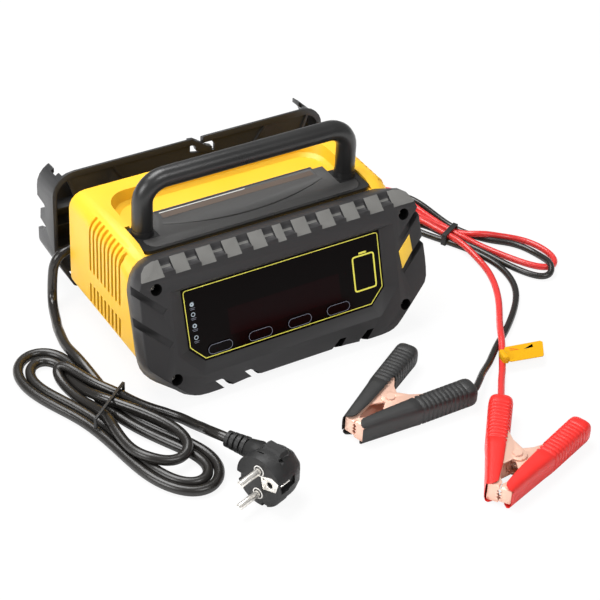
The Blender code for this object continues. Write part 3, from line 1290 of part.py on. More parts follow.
RED_RUN = [
    (0.1896, 0.0310, LEAD_FLOOR), (0.1865, 0.0170, LEAD_FLOOR), (0.1770, -0.0040, LEAD_FLOOR),
    (0.1690, -0.0170, 0.0030), (0.1600, -0.0290, 0.0050), (0.1510, -0.0420, 0.0084), (0.1447, -0.0520, 0.0086),
    (0.1388, -0.0620, 0.0082), (0.1325, -0.0710, 0.0056), (0.1258, -0.0800, 0.0040), (0.1170, -0.0910, 0.0056)]
BLACK_RUN = [
    (0.1986, 0.0082, LEAD_FLOOR), (0.1955, -0.0020, LEAD_FLOOR), (0.1900, -0.0110, LEAD_FLOOR),
    (0.1800, -0.0220, LEAD_FLOOR), (0.1680, -0.0330, LEAD_FLOOR), (0.1560, -0.0430, LEAD_FLOOR),
    (0.1430, -0.0545, LEAD_FLOOR), (0.1300, -0.0650, LEAD_FLOOR), (0.1200, -0.0740, LEAD_FLOOR),
    (0.1120, -0.0830, 0.0042), (0.1045, -0.0900, 0.0070)]


def make_leads():
    spacing = 0.0065
    place("red_feed", tube_mesh(smooth_route(RED_FEED, spacing), LEAD_RADIUS), CORD_RED)
    place("black_feed", tube_mesh(smooth_route(BLACK_FEED, spacing), LEAD_RADIUS), CORD_BLACK)
    place("red_lead", tube_mesh(smooth_route(RED_RUN + RED_ENTRY[::-1], spacing), LEAD_RADIUS), CORD_RED)
    place("black_lead", tube_mesh(smooth_route(BLACK_RUN + BLACK_ENTRY[::-1], spacing), LEAD_RADIUS), CORD_BLACK)


make_leads()


def make_tag():
    """Paper flag folded round the red lead."""
    x, y, z = RED_RUN[7]
    edge = LEAD_RADIUS + CLEAR + 0.0004
    outline = [(edge - 0.0020, -0.0080), (0.0330, -0.0080), (0.0330, 0.0072), (edge + 0.0018, 0.0072)]
    place("lead_tag", plate_mesh(outline, z - 0.0003, z + 0.0003), TAG,
          location=(x, y, 0), rotation=(0, 0, math.radians(-13)))


make_tag()
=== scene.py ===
"""Looks of a car battery charger: moulded black and yellow case with a sloped
display, carry handle and cord cradle, a wound mains cord with its plug, and
two output leads that end in spring clamps. Lengths are metres and +Z is up."""
import json
import math

import bpy
import numpy as np
from mathutils import Matrix, Vector

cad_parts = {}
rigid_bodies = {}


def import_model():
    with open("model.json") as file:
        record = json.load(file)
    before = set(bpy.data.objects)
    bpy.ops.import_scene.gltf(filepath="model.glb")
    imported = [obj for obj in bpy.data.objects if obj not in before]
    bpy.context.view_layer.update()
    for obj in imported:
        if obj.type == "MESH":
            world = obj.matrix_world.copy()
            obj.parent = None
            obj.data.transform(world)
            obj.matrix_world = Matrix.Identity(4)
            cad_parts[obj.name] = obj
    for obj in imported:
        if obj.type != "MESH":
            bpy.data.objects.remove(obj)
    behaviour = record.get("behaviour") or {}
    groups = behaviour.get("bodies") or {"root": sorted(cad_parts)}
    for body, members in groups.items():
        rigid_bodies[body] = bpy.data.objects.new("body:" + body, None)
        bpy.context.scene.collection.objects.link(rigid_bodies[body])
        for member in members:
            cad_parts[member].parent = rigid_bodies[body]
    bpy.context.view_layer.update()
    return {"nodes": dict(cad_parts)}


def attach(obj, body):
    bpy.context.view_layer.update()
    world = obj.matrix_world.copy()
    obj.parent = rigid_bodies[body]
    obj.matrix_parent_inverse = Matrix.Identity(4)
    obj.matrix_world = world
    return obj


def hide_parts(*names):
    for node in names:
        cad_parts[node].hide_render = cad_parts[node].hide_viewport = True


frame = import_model()
nodes = frame["nodes"]
scene = bpy.context.scene
for item in bpy.context.selected_objects:
    item.select_set(False)

# ---------------------------------------------------------------- camera
# Looks down on the charger's left front corner from about 1.35 m, slightly rolled.
BODY_MIDDLE = 0.084028         # the charger's own y = 0 lies this far in front of the middle
CAMERA_PLACE = (-0.56693, -0.88531, 0.84467)
FOCAL_PIXELS, PICTURE_PIXELS = 1911.26, 600


def charger_spot(x, y, z):
    """A point given from the charger's front foot, moved to the model's middle."""
    return Vector((x, y - BODY_MIDDLE, z))


CAMERA_TURN, CAMERA_DIP, CAMERA_ROLL = (math.radians(a) for a in (32.85, 36.88, -3.39))
aim = Vector((math.sin(CAMERA_TURN) * math.cos(CAMERA_DIP), math.cos(CAMERA_TURN) * math.cos(CAMERA_DIP),
              -math.sin(CAMERA_DIP)))
level = Vector((math.cos(CAMERA_TURN), -math.sin(CAMERA_TURN), 0))
below = aim.cross(level)
right = level * math.cos(CAMERA_ROLL) + below * math.sin(CAMERA_ROLL)
down = below * math.cos(CAMERA_ROLL) - level * math.sin(CAMERA_ROLL)
turned = Matrix((right, -down, -aim)).transposed().to_4x4()
lens = bpy.data.cameras.new("camera")
lens.sensor_width = 36.0
lens.lens = FOCAL_PIXELS * lens.sensor_width / PICTURE_PIXELS
lens.clip_end = 20.0
camera = bpy.data.objects.new("camera", lens)
camera.matrix_world = Matrix.Translation(charger_spot(*CAMERA_PLACE)) @ turned
scene.collection.objects.link(camera)
scene.camera = camera

# ---------------------------------------------------------------- studio
# A white table under three large soft boxes; the background is white wherever it is seen directly.
scene.view_settings.view_transform = "Standard"
FLOOR_HALF = 3.0
WORLD_LEVEL = 0.30
TABLE_GREY, TABLE_GLOW = 0.86, 0.90


def node_of(tree, kind, **values):
    """Add a shader node and set its named properties."""
    node = tree.nodes.new(kind)
    for key, value in values.items():
        setattr(node, key, value)
    return node


def seen_directly(tree):
    """1 for camera rays, 0 for those that light the object or show in it."""
    return node_of(tree, "ShaderNodeLightPath").outputs["Is Camera Ray"]


world = bpy.data.worlds.new("studio")
scene.world = world
world.use_nodes = True
tree = world.node_tree
tree.nodes.clear()
soft = node_of(tree, "ShaderNodeBackground")
soft.inputs["Strength"].default_value = WORLD_LEVEL
white = node_of(tree, "ShaderNodeBackground")
blend = node_of(tree, "ShaderNodeMixShader")
out = node_of(tree, "ShaderNodeOutputWorld")
for shader in (soft, white):
    shader.inputs["Color"].default_value = (1, 1, 1, 1)
tree.links.new(seen_directly(tree), blend.inputs["Fac"])
tree.links.new(soft.outputs[0], blend.inputs[1])
tree.links.new(white.outputs[0], blend.inputs[2])
tree.links.new(blend.outputs[0], out.inputs["Surface"])

bpy.ops.mesh.primitive_plane_add(size=2 * FLOOR_HALF, location=(0, 0, 0))
floor = bpy.context.object
floor.name = "table"
floor.select_set(False)
paper = bpy.data.materials.new("white_table")
paper.use_nodes = True
tree = paper.node_tree
tree.nodes.clear()
matt = node_of(tree, "ShaderNodeBsdfDiffuse")
matt.inputs["Color"].default_value = (TABLE_GREY, TABLE_GREY, TABLE_GREY, 1)
glow = node_of(tree, "ShaderNodeEmission")
share = node_of(tree, "ShaderNodeMath", operation="MULTIPLY")
share.inputs[1].default_value = TABLE_GLOW
blend = node_of(tree, "ShaderNodeMixShader")
out = node_of(tree, "ShaderNodeOutputMaterial")
tree.links.new(seen_directly(tree), share.inputs[0])
tree.links.new(share.outputs[0], blend.inputs["Fac"])
tree.links.new(matt.outputs[0], blend.inputs[1])
tree.links.new(glow.outputs[0], blend.inputs[2])
tree.links.new(blend.outputs[0], out.inputs["Surface"])
floor.data.materials.append(paper)


def soft_box(name, place, size, power):
    """A large rectangular lamp that faces the charger."""
    light = bpy.data.lights.new(name, "AREA")
    light.shape = "RECTANGLE"
    light.size, light.size_y = size
    light.energy = power
    lamp = bpy.data.objects.new(name, light)
    lamp.location = place
    lamp.rotation_euler = (Vector((0, 0, 0.05)) - Vector(place)).to_track_quat("-Z", "Y").to_euler()
    scene.collection.objects.link(lamp)


soft_box("box_overhead", (-0.2, 0.5, 1.5), (1.2, 0.8), 29)
soft_box("box_left", (-1.6, -0.2, 0.9), (0.9, 0.7), 16)
soft_box("box_front", (0.2, -1.3, 1.5), (0.7, 0.5), 11)

# ---------------------------------------------------------------- mains cord
# Three-core flexible cord, 7.2 mm of smooth PVC: out of the rear gland, down to the table, wound
# three times into a flat hank with a tie round its waist, and on to the moulded plug.
CORD_THICK = 0.0072
WAIST = Vector((-138.7, 5.8))             # middle of the tie, in millimetres
WAIST_LINE = Vector((0.795, 0.606))       # across the strands


def at_waist(across, z):
    """A point in the tie, across the strands from its middle."""
    x, y = WAIST + WAIST_LINE * across
    return (x, y, z)


MAINS_RUN = [
    (-80.0, 141.5, 43.0), (-88.0, 141.5, 43.0), (-97.0, 141.5, 43.0), (-105.0, 141.5, 42.0),
    (-112.0, 141.5, 38.5), (-116.0, 141.5, 31.0), (-117.5, 141.2, 20.0), (-119.0, 139.0, 9.5),
    (-121.5, 133.0, 4.5), (-124.5, 124.0, 3.7), (-127.2, 115.0, 3.7), (-129.6, 108.0, 4.0),
    (-132.6, 96.0, 6.2), (-135.8, 83.0, 9.2), (-137.2, 72.0, 10.8), (-136.8, 60.0, 10.0),
    (-134.5, 48.0, 6.6), (-131.8, 35.0, 4.2), (-130.5, 23.0, 3.8), at_waist(9.0, 3.8),
    # right, into the outermost loop
    (-128.3, 0.0, 3.8), (-125.6, -9.4, 3.8), (-117.4, -23.2, 3.8), (-110.5, -35.0, 3.8),
    (-104.5, -46.0, 3.8), (-99.5, -55.0, 3.8), (-96.6, -64.0, 3.8), (-96.0, -73.0, 3.8),
    (-99.0, -83.0, 3.8), (-109.0, -93.0, 3.8), (-120.6, -94.5, 3.8), (-130.4, -88.8, 3.8),
    (-139.7, -74.6, 3.8), (-145.1, -56.4, 3.8), (-149.0, -34.3, 3.8), (-151.5, -20.0, 3.8),
    at_waist(-18.4, 3.8),
    # left, outermost loop
    (-155.4, 3.9, 3.8), (-161.4, 16.5, 3.8), (-168.7, 29.9, 3.8), (-175.1, 45.3, 3.8), (-179.0, 59.6, 3.8),
    (-178.7, 74.3, 3.8), (-173.6, 84.1, 3.8), (-163.3, 91.2, 3.8), (-152.7, 91.2, 3.8), (-144.3, 85.6, 3.8),
    (-137.2, 74.2, 3.8), (-136.5, 64.0, 3.8), (-139.0, 50.0, 3.8), (-139.5, 36.0, 3.8), (-138.5, 22.0, 3.8),
    at_waist(1.0, 3.8),
    # right, second outer loop
    (-134.0, -4.9, 3.8), (-127.2, -21.4, 3.8), (-119.5, -35.9, 3.8), (-111.4, -49.3, 4.0),
    (-105.0, -60.0, 5.0), (-102.0, -70.0, 6.0), (-104.5, -80.0, 6.0), (-112.1, -86.5, 6.0),
    (-121.5, -86.0, 6.0), (-130.0, -78.7, 5.0), (-137.5, -64.8, 3.8), (-141.5, -49.4, 3.8),
    (-144.2, -25.2, 3.8), (-145.5, -12.0, 3.8), at_waist(-11.0, 3.8),
    # left, second outer loop
    (-150.3, 8.3, 3.8), (-153.6, 17.2, 3.8), (-159.6, 29.9, 3.8), (-166.9, 43.5, 3.8), (-172.2, 56.5, 4.0),
    (-172.5, 68.0, 4.5), (-168.0, 78.0, 5.0), (-160.0, 83.0, 5.0), (-152.5, 82.0, 4.5), (-146.4, 76.0, 4.0),
    (-143.5, 66.0, 3.8), (-145.8, 54.0, 3.8), (-146.8, 42.0, 4.0), (-145.0, 29.0, 5.5), (-141.0, 18.0, 8.5),
    at_waist(5.0, 9.9),
    # right, inner loop over the others
    (-127.5, -2.0, 9.8), (-121.0, -11.0, 8.0), (-114.0, -23.0, 6.2), (-109.5, -34.0, 8.0),
    (-106.2, -45.0, 10.5), (-106.2, -54.0, 11.0), (-111.0, -62.5, 10.5), (-121.5, -65.5, 8.5),
    (-132.5, -62.0, 8.5), (-141.0, -55.0, 9.5), (-146.0, -45.0, 10.5), (-146.8, -31.0, 10.5),
    (-146.4, -16.0, 10.5), (-145.5, -5.0, 10.4), at_waist(-5.0, 9.9),
    # left, small loop that the plug's end turns back from
    (-145.8, 11.0, 8.5), (-149.0, 23.0, 6.2), (-151.6, 38.0, 4.6), (-154.3, 53.0, 4.0), (-154.5, 64.0, 5.5),
    (-150.5, 69.5, 8.5), (-146.2, 64.0, 10.8), (-143.8, 54.0, 11.2), (-141.2, 43.0, 11.2),
    (-137.5, 31.0, 10.8), (-133.0, 22.0, 10.0), at_waist(14.5, 8.6),
    # off to the plug
    (-119.9, 5.5, 6.8), (-111.0, -4.0, 5.0), (-103.8, -13.5, 4.0), (-98.5, -22.0, 4.5), (-95.5, -33.0, 6.8),
    (-94.2, -44.0, 11.2), (-94.2, -54.0, 16.0), (-92.4, -63.1, 19.0), (-89.6, -68.2, 19.0),
    (-85.8, -75.3, 19.0)]


def even_line(points, spacing):
    """Points in metres at an even spacing on a smooth curve through a run in millimetres."""
    run = [Vector(p) * 0.001 for p in points]
    ends = [2 * run[0] - run[1]] + run + [2 * run[-1] - run[-2]]
    fine = []
    for a, b, c, d in zip(ends, ends[1:], ends[2:], ends[3:]):
        for step in range(12):
            t = step / 12
            fine.append(0.5 * (2 * b + (c - a) * t + (2 * a - 5 * b + 4 * c - d) * t * t
                               + (3 * b - a - 3 * c + d) * t ** 3))
    fine.append(run[-1])
    fine = np.array(fine)
    along = np.concatenate([[0], np.cumsum(np.linalg.norm(np.diff(fine, axis=0), axis=1))])
    at = np.linspace(0, along[-1], round(along[-1] / spacing) + 1)
    return np.stack([np.interp(at, along, fine[:, k]) for k in range(3)], axis=1)


CORD_SPACING = 0.004
TABLE_GAP = 0.0002
SETTLE_ROUNDS, EVEN_OUT_ROUNDS = 160, 3
YIELD, PULL_BACK, SINK = 0.35, 0.03, 0.00003


def settle(runs, thick, spacing, held):
    """Let cords rest on the table and on each other, a diameter apart, near where they were laid.

    A length of each cord is held at its start and at its end."""
    lines = [even_line(run, spacing) for run in runs]
    place = np.concatenate(lines)
    laid = place.copy()
    owner = np.concatenate([np.full(len(line), i) for i, line in enumerate(lines)])
    count = np.arange(len(place))
    near = (owner[:, None] == owner[None]) & (abs(count[:, None] - count[None]) * spacing < 2.4 * thick)
    first = np.concatenate([np.arange(len(line)) for line in lines])
    last = np.concatenate([np.arange(len(line))[::-1] for line in lines])
    free = (first * spacing > held[0]) & (last * spacing > held[1])
    for _ in range(SETTLE_ROUNDS):
        gap = place[:, None] - place[None]
        far = np.linalg.norm(gap, axis=2) + 1e-9
        push = np.where((far < thick) & ~near, (thick - far) / far, 0.0)
        move = (gap * push[:, :, None]).sum(axis=1) * YIELD
        smooth = (np.roll(place, 1, 0) + np.roll(place, -1, 0)) / 2 - place
        pull = (laid - place) * (PULL_BACK, PULL_BACK, 0.0)
        move += smooth * YIELD + pull
        move[:, 2] -= SINK
        place[free] += move[free]
        place[:, 2] = np.where(free, np.maximum(place[:, 2], thick / 2 + TABLE_GAP), place[:, 2])
    for _ in range(EVEN_OUT_ROUNDS):
        smooth = (np.roll(place, 1, 0) + np.roll(place, -1, 0)) / 2 - place
        place[free] += 0.5 * smooth[free]
    return [place[owner == i] for i in range(len(lines))]


def run_length(line):
    """Length of a run of points, in metres to the nearest centimetre."""
    return round(sum((b - a).length for a, b in zip(line, line[1:])), 2)


def cord_piece(name, line, thick):
    """A round cord as a curve through the points of its middle line."""
    curve = bpy.data.curves.new(name, "CURVE")
    curve.dimensions = "3D"
    curve.bevel_depth = thick / 2
    curve.bevel_resolution = 5
    curve.use_fill_caps = True
    curve.resolution_u = 3
    curve.render_resolution_u = 3
    spline = curve.splines.new("NURBS")
    spline.points.add(len(line) - 1)
    for point, spot in zip(spline.points, line):
        point.co = (*spot, 1)
    spline.order_u = 3
    spline.use_endpoint_u = True
    piece = bpy.data.objects.new(name, curve)
    scene.collection.objects.link(piece)
    return piece


def surface_wear_group():
    """Uneven sheen and colour shared by all finishes: slow blotches and fine moulding grain."""
    group = bpy.data.node_groups.new("moulding_texture", "ShaderNodeTree")
    for name in ("Grain Scale", "Low Roughness", "High Roughness"):
        group.interface.new_socket(name, in_out="INPUT", socket_type="NodeSocketFloat")
    for name in ("Mix", "Roughness", "Height"):
        group.interface.new_socket(name, in_out="OUTPUT", socket_type="NodeSocketFloat")
    start = node_of(group, "NodeGroupInput")
    end = node_of(group, "NodeGroupOutput")
    where = node_of(group, "ShaderNodeTexCoord")
    blotch = node_of(group, "ShaderNodeTexNoise")
    blotch.inputs["Scale"].default_value = 20.0
    blotch.inputs["Detail"].default_value = 3.0
    grain = node_of(group, "ShaderNodeTexNoise")
    grain.inputs["Detail"].default_value = 2.0
    group.links.new(start.outputs["Grain Scale"], grain.inputs["Scale"])
    for texture in (blotch, grain):
        group.links.new(where.outputs["Object"], texture.inputs["Vector"])
    spread = node_of(group, "ShaderNodeMapRange")
    spread.inputs["From Min"].default_value = 0.35
    spread.inputs["From Max"].default_value = 0.65
    group.links.new(blotch.outputs["Fac"], spread.inputs["Value"])
    group.links.new(start.outputs["Low Roughness"], spread.inputs["To Min"])
    group.links.new(start.outputs["High Roughness"], spread.inputs["To Max"])
    group.links.new(blotch.outputs["Fac"], end.inputs["Mix"])
    group.links.new(spread.outputs["Result"], end.inputs["Roughness"])
    group.links.new(grain.outputs["Fac"], end.inputs["Height"])
    return group


MOULDING_TEXTURE = surface_wear_group()


def finish(name, colour, other, roughness, grain=1500.0, bump=0.0002, level=0.5, metallic=0.0):
    """A material whose colour drifts between two values, with its own sheen and grain."""
    material = bpy.data.materials.new(name)
    material.use_nodes = True
    tree = material.node_tree
    shader = tree.nodes["Principled BSDF"]
    texture = node_of(tree, "ShaderNodeGroup", node_tree=MOULDING_TEXTURE)
    for key, value in zip(("Grain Scale", "Low Roughness", "High Roughness"), (grain, *roughness)):
        texture.inputs[key].default_value = value
    mix = node_of(tree, "ShaderNodeMix", data_type="RGBA")
    mix.inputs["A"].default_value = (*colour, 1)
    mix.inputs["B"].default_value = (*other, 1)
    tree.links.new(texture.outputs["Mix"], mix.inputs["Factor"])
    tree.links.new(mix.outputs["Result"], shader.inputs["Base Color"])
    tree.links.new(texture.outputs["Roughness"], shader.inputs["Roughness"])
    raised = node_of(tree, "ShaderNodeBump")
    raised.inputs["Distance"].default_value = bump
    tree.links.new(texture.outputs["Height"], raised.inputs["Height"])
    tree.links.new(raised.outputs["Normal"], shader.inputs["Normal"])
    shader.inputs["Specular IOR Level"].default_value = level
    shader.inputs["Metallic"].default_value = metallic
    return material


def hand_over(piece, materials, slot_name, *stands_for, body="charger"):
    """Give a finished piece its materials, its body and the nodes it stands for; the slot name is not used.

    Without materials it keeps those it has."""
    if materials:
        piece.data.materials.clear()
        for material in materials:
            piece.data.materials.append(material)
    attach(piece, body)
    if stands_for:
        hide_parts(*stands_for)


BLACK_PVC = finish("black_cord_pvc", (0.012, 0.011, 0.010), (0.018, 0.016, 0.014), (0.22, 0.32), 900.0,
                   0.00005)
mains_line = [charger_spot(*p) for p in settle([MAINS_RUN], CORD_THICK, CORD_SPACING, (0.110, 0.075))[0]]
mains_cord = cord_piece("mains_cord_run", mains_line, CORD_THICK)
hand_over(mains_cord, [BLACK_PVC], "cord_black", "mains_cord", "mains_hank", "plug_lead")

# ---------------------------------------------------------------- output leads
# Two single-core leads of soft PVC, 5 mm over the insulation, one red and one black. Each is folded
# over three times in the tie beside the charger and runs on to its clamp.
LEAD_THICK = 0.0050
RED_LAY = [
    (80.0, 141.5, 45.9), (88.0, 141.5, 45.9), (97.0, 141.5, 45.9), (106.0, 141.6, 44.0),
    (114.0, 142.0, 38.0), (120.0, 143.0, 28.0), (124.5, 145.0, 16.0), (129.5, 148.0, 7.0),
    (136.0, 152.0, 2.7), (144.0, 157.5, 2.7), (152.0, 161.2, 2.7), (159.0, 161.7, 2.7), (167.0, 159.0, 2.7),
    (176.0, 152.0, 2.7), (182.0, 140.0, 3.5), (185.0, 124.0, 5.0), (186.8, 108.0, 6.5), (188.0, 95.0, 7.2),
    (189.2, 84.0, 7.6), (191.5, 74.0, 7.4), (196.0, 67.0, 6.0), (204.0, 61.0, 4.0), (215.0, 56.5, 3.0),
    (225.0, 55.8, 3.0), (234.0, 50.0, 2.7), (240.0, 40.0, 2.7), (244.0, 28.0, 2.7), (245.5, 16.0, 2.7),
    (243.0, 6.0, 2.7), (237.0, 1.0, 2.7), (229.5, 2.0, 2.7), (222.0, 11.0, 2.7), (215.0, 23.0, 2.7),
    (207.8, 38.0, 3.0), (200.5, 53.0, 4.5), (194.5, 65.0, 6.6), (188.5, 75.5, 7.6), (185.0, 87.0, 7.0),
    (183.0, 101.0, 5.0), (181.5, 115.0, 3.5), (179.0, 129.0, 2.7), (174.0, 138.0, 2.7), (167.0, 137.0, 2.7),
    (165.0, 128.0, 2.7), (169.0, 115.0, 3.0), (174.5, 101.0, 4.5), (179.0, 89.0, 6.5), (183.2, 77.0, 7.6),
    (186.0, 64.0, 6.6), (189.3, 51.0, 4.0), (190.2, 39.0, 2.7), (189.6, 31.0, 2.7), (186.5, 17.0, 2.7),
    (177.0, -4.0, 2.7), (169.0, -17.0, 3.0), (160.0, -29.0, 5.0), (151.0, -42.0, 8.4), (144.7, -52.0, 8.6),
    (138.8, -62.0, 8.2), (132.5, -71.0, 5.6), (125.8, -80.0, 4.0), (117.0, -91.0, 5.6)]
BLACK_LAY = [
    (80.0, 141.5, 40.1), (88.0, 141.5, 40.1), (96.0, 141.5, 40.1), (103.5, 141.2, 37.2),
    (110.0, 140.5, 31.0), (115.0, 140.0, 22.0), (119.0, 139.5, 12.0), (124.0, 139.0, 5.0),
    (131.0, 139.0, 2.7), (140.0, 139.5, 2.7), (151.0, 140.0, 2.7), (163.0, 144.0, 2.7), (175.0, 147.0, 2.7),
    (186.0, 143.0, 2.7), (191.5, 133.0, 2.7), (192.8, 118.0, 2.7), (193.2, 104.0, 2.7), (193.8, 90.0, 2.7),
    (195.0, 80.0, 2.7), (198.5, 71.0, 2.7), (206.0, 61.2, 2.7), (215.0, 52.8, 2.7), (223.5, 49.5, 2.7),
    (230.0, 42.0, 2.7), (234.5, 28.0, 2.7), (235.0, 12.0, 3.0), (233.0, -1.0, 4.0), (227.5, -8.5, 4.0),
    (220.8, -7.5, 3.0), (213.5, 2.0, 2.7), (208.0, 14.5, 2.7), (203.5, 26.0, 2.7), (199.0, 40.0, 2.7),
    (195.0, 51.0, 2.7), (191.0, 64.0, 2.7), (187.2, 75.5, 2.7), (183.5, 88.0, 2.7), (178.0, 100.0, 2.7),
    (171.5, 108.0, 2.7), (165.0, 109.0, 2.7), (162.5, 103.0, 2.7), (166.0, 94.0, 2.7), (172.5, 83.0, 2.7),
    (179.5, 73.0, 2.7), (186.2, 62.0, 3.5), (192.5, 52.0, 6.0), (196.2, 43.0, 6.4), (199.0, 33.0, 4.5),
    (200.2, 22.0, 2.7), (198.6, 8.2, 2.7), (195.5, -2.0, 2.7), (190.0, -11.0, 2.7), (180.0, -22.0, 2.7),
    (168.0, -33.0, 2.7), (156.0, -43.0, 2.7), (143.0, -51.0, 2.7), (132.0, -60.5, 2.7), (124.0, -67.2, 3.0),
    (117.0, -72.5, 4.2), (110.0, -78.0, 6.0), (103.0, -84.5, 8.0)]

# the clamps' sizes in millimetres, rivet at the origin; a lead ends inside its clamp's fixed arm
ARM_TIP = (-36.0, 4.5)
ARM_ANGLE = math.radians(15.3)
ARM_LENGTH = 93.0
CLAMP_MIDDLE_Z = 8.9
CLAMPS = {"black": ((30.8, -79.8), math.radians(15.7), -1), "red": ((74.1, -167.3), math.radians(35.7), 1)}


def arm_point(s, offset):
    """A point of a clamp's arm: s along it from the jaw's tip, offset out from its middle line."""
    cosine, sine = math.cos(ARM_ANGLE), math.sin(ARM_ANGLE)
    return (ARM_TIP[0] + s * cosine - offset * sine, ARM_TIP[1] + s * sine + offset * cosine)


def lead_entry(colour):
    """The last stretch of a lead, into the end of the fixed arm."""
    pivot, bearing, side = CLAMPS[colour]
    cosine, sine = math.cos(bearing), math.sin(bearing)
    spots = [arm_point(ARM_LENGTH + past, 0) for past in (2.0, -3.0, -10.0)]
    return [(pivot[0] + x * cosine - y * side * sine, pivot[1] + x * sine + y * side * cosine, CLAMP_MIDDLE_Z)
            for x, y in spots]


RED_PVC = finish("red_lead_pvc", (0.62, 0.030, 0.028), (0.70, 0.040, 0.036), (0.24, 0.34), 900.0, 0.00005)
BLACK_LEAD_PVC = finish("black_lead_pvc", (0.012, 0.011, 0.010), (0.018, 0.016, 0.014), (0.22, 0.32), 900.0,
                        0.00005)
lead_lines = settle([RED_LAY + lead_entry("red"), BLACK_LAY + lead_entry("black")], LEAD_THICK, CORD_SPACING,
                    (0.075, 0.055))
leads = {}
for colour, line, material, stands_for in (
        ("red", lead_lines[0], RED_PVC, ("red_feed", "red_lead", "lead_hank")),
        ("black", lead_lines[1], BLACK_LEAD_PVC, ("black_feed", "black_lead"))):
    line = [charger_spot(*p) for p in line]
    lead = cord_piece(f"{colour}_lead_run", line, LEAD_THICK)
    hand_over(lead, [material], f"cord_{colour}", *stands_for)
    leads[colour] = lead, run_length(line)

# ---------------------------------------------------------------- finishes of the rigid pieces
YELLOW_PLASTIC = finish("yellow_plastic", (0.88, 0.49, 0.018), (0.92, 0.535, 0.026), (0.38, 0.48), 1400.0,
                        0.00006)
BLACK_PLASTIC = finish("black_plastic", (0.020, 0.020, 0.021), (0.028, 0.028, 0.029), (0.42, 0.52), 1400.0,
                       0.00012)
SATIN_BLACK = finish("satin_black_plastic", (0.014, 0.014, 0.014), (0.020, 0.020, 0.020), (0.26, 0.34),
                     1200.0, 0.00005)
DISPLAY_GLASS = finish("display_glass", (0.0024, 0.0014, 0.0014), (0.0034, 0.0020, 0.0020), (0.08, 0.12),
                       600.0, 0.00001, level=0.05)
RUBBER = finish("soft_black", (0.011, 0.011, 0.011), (0.017, 0.017, 0.017), (0.46, 0.56), 1500.0, 0.0001,
                level=0.4)
GRIP_BLACK = finish("grip_black", (0.016, 0.016, 0.016), (0.024, 0.024, 0.024), (0.42, 0.52), 1500.0, 0.0001)
GRIP_RED = finish("grip_red", (0.70, 0.016, 0.012), (0.76, 0.022, 0.016), (0.36, 0.46), 1500.0, 0.0001)
COPPER = finish("copper_plate", (0.90, 0.55, 0.42), (0.93, 0.61, 0.48), (0.26, 0.38), 700.0, 0.00004,
                metallic=0.4)
STEEL = finish("steel", (0.84, 0.81, 0.76), (0.90, 0.87, 0.82), (0.18, 0.30), 700.0, 0.00003, metallic=0.75)
BOARD = finish("circuit_board", (0.02, 0.16, 0.07), (0.03, 0.2, 0.09), (0.4, 0.5))
FERRITE = finish("transformer_tape", (0.7, 0.55, 0.1), (0.76, 0.6, 0.12), (0.4, 0.5))
ALUMINIUM = finish("aluminium", (0.75, 0.75, 0.77), (0.8, 0.8, 0.82), (0.3, 0.4), metallic=1.0)
TAG_YELLOW = finish("tag_yellow", (0.64, 0.32, 0.003), (0.70, 0.36, 0.005), (0.45, 0.55), 500.0, 0.00003,
                    level=0.15)

DRESS = {"yellow_plastic": YELLOW_PLASTIC, "black_plastic": BLACK_PLASTIC, "display_gloss": DISPLAY_GLASS,
         "rubber": RUBBER, "cord_black": BLACK_PVC, "cord_red": RED_PVC, "grip_red": GRIP_RED,
         "grip_black": GRIP_BLACK, "copper_plate": COPPER, "steel": STEEL, "circuit_board": BOARD,
         "transformer_tape": FERRITE, "aluminium": ALUMINIUM, "tag_yellow": TAG_YELLOW}
for node in nodes.values():
    for slot in node.material_slots:
        base = slot.material.name.split(".")[0] if slot.material else ""
        if base in DRESS:
            slot.material = DRESS[base]

# ---------------------------------------------------------------- housing
# Yellow injection-moulded shell with louvred flanks and a tool tray sunk into its top; its front edge
# rounds down to meet the black frame.
LEAN = math.radians(17.6)
SLOPE = (Matrix.Translation(charger_spot(0, -0.011, 0))
         @ Matrix.Rotation(math.pi / 2 - LEAN, 4, "X"))      # x across, y up the slope, z out of it
CHARGER = Matrix.Translation(charger_spot(0, 0, 0))


def lay_out(points, frame_matrix):
    """Points in millimetres of a local frame, as places in the model."""
    return [frame_matrix @ (Vector(p) * 0.001) for p in points]


def start_piece(name):
    """A new object in edit mode, emptied of its first primitive's faces."""
    bpy.ops.object.select_all(action="DESELECT")
    bpy.ops.mesh.primitive_plane_add(size=0.001, location=(0, 0, 0))
    piece = bpy.context.object
    piece.name = piece.data.name = name
    bpy.ops.object.mode_set(mode="EDIT")
    bpy.ops.mesh.delete(type="VERT")
    return piece


def trace_ring(points):
    """Draw a closed edge loop, one extruded vertex after the other."""
    bpy.ops.mesh.select_all(action="DESELECT")
    bpy.ops.mesh.primitive_plane_add(size=0.001, location=points[0])
    bpy.ops.mesh.merge(type="CENTER")
    for here, there in zip(points, points[1:]):
        bpy.ops.mesh.extrude_region_move(TRANSFORM_OT_translate={"value": tuple(there - here)})
    bpy.ops.mesh.select_linked()
    bpy.ops.mesh.edge_face_add()
    bpy.ops.mesh.delete(type="ONLY_FACE")


def close_skin():
    """Fill the open ends of a skin and turn its faces outwards."""
    bpy.ops.mesh.select_all(action="SELECT")
    bpy.ops.mesh.fill_holes(sides=0)
    bpy.ops.mesh.select_all(action="SELECT")
    bpy.ops.mesh.normals_make_consistent(inside=False)
    bpy.ops.object.mode_set(mode="OBJECT")


def skin_piece(name, rings, frame_matrix=Matrix.Identity(4)):
    """A solid whose skin is bridged from ring to ring and closed at both ends."""
    piece = start_piece(name)
    for ring in rings:
        trace_ring(lay_out(ring, frame_matrix))
    bpy.ops.mesh.select_all(action="SELECT")
    bpy.ops.mesh.bridge_edge_loops()
    close_skin()
    return piece


def prism(name, outline, low, high, frame_matrix=Matrix.Identity(4)):
    """A solid with one outline from a low to a high level."""
    return skin_piece(name, [[(x, y, level) for x, y in outline] for level in (low, high)], frame_matrix)


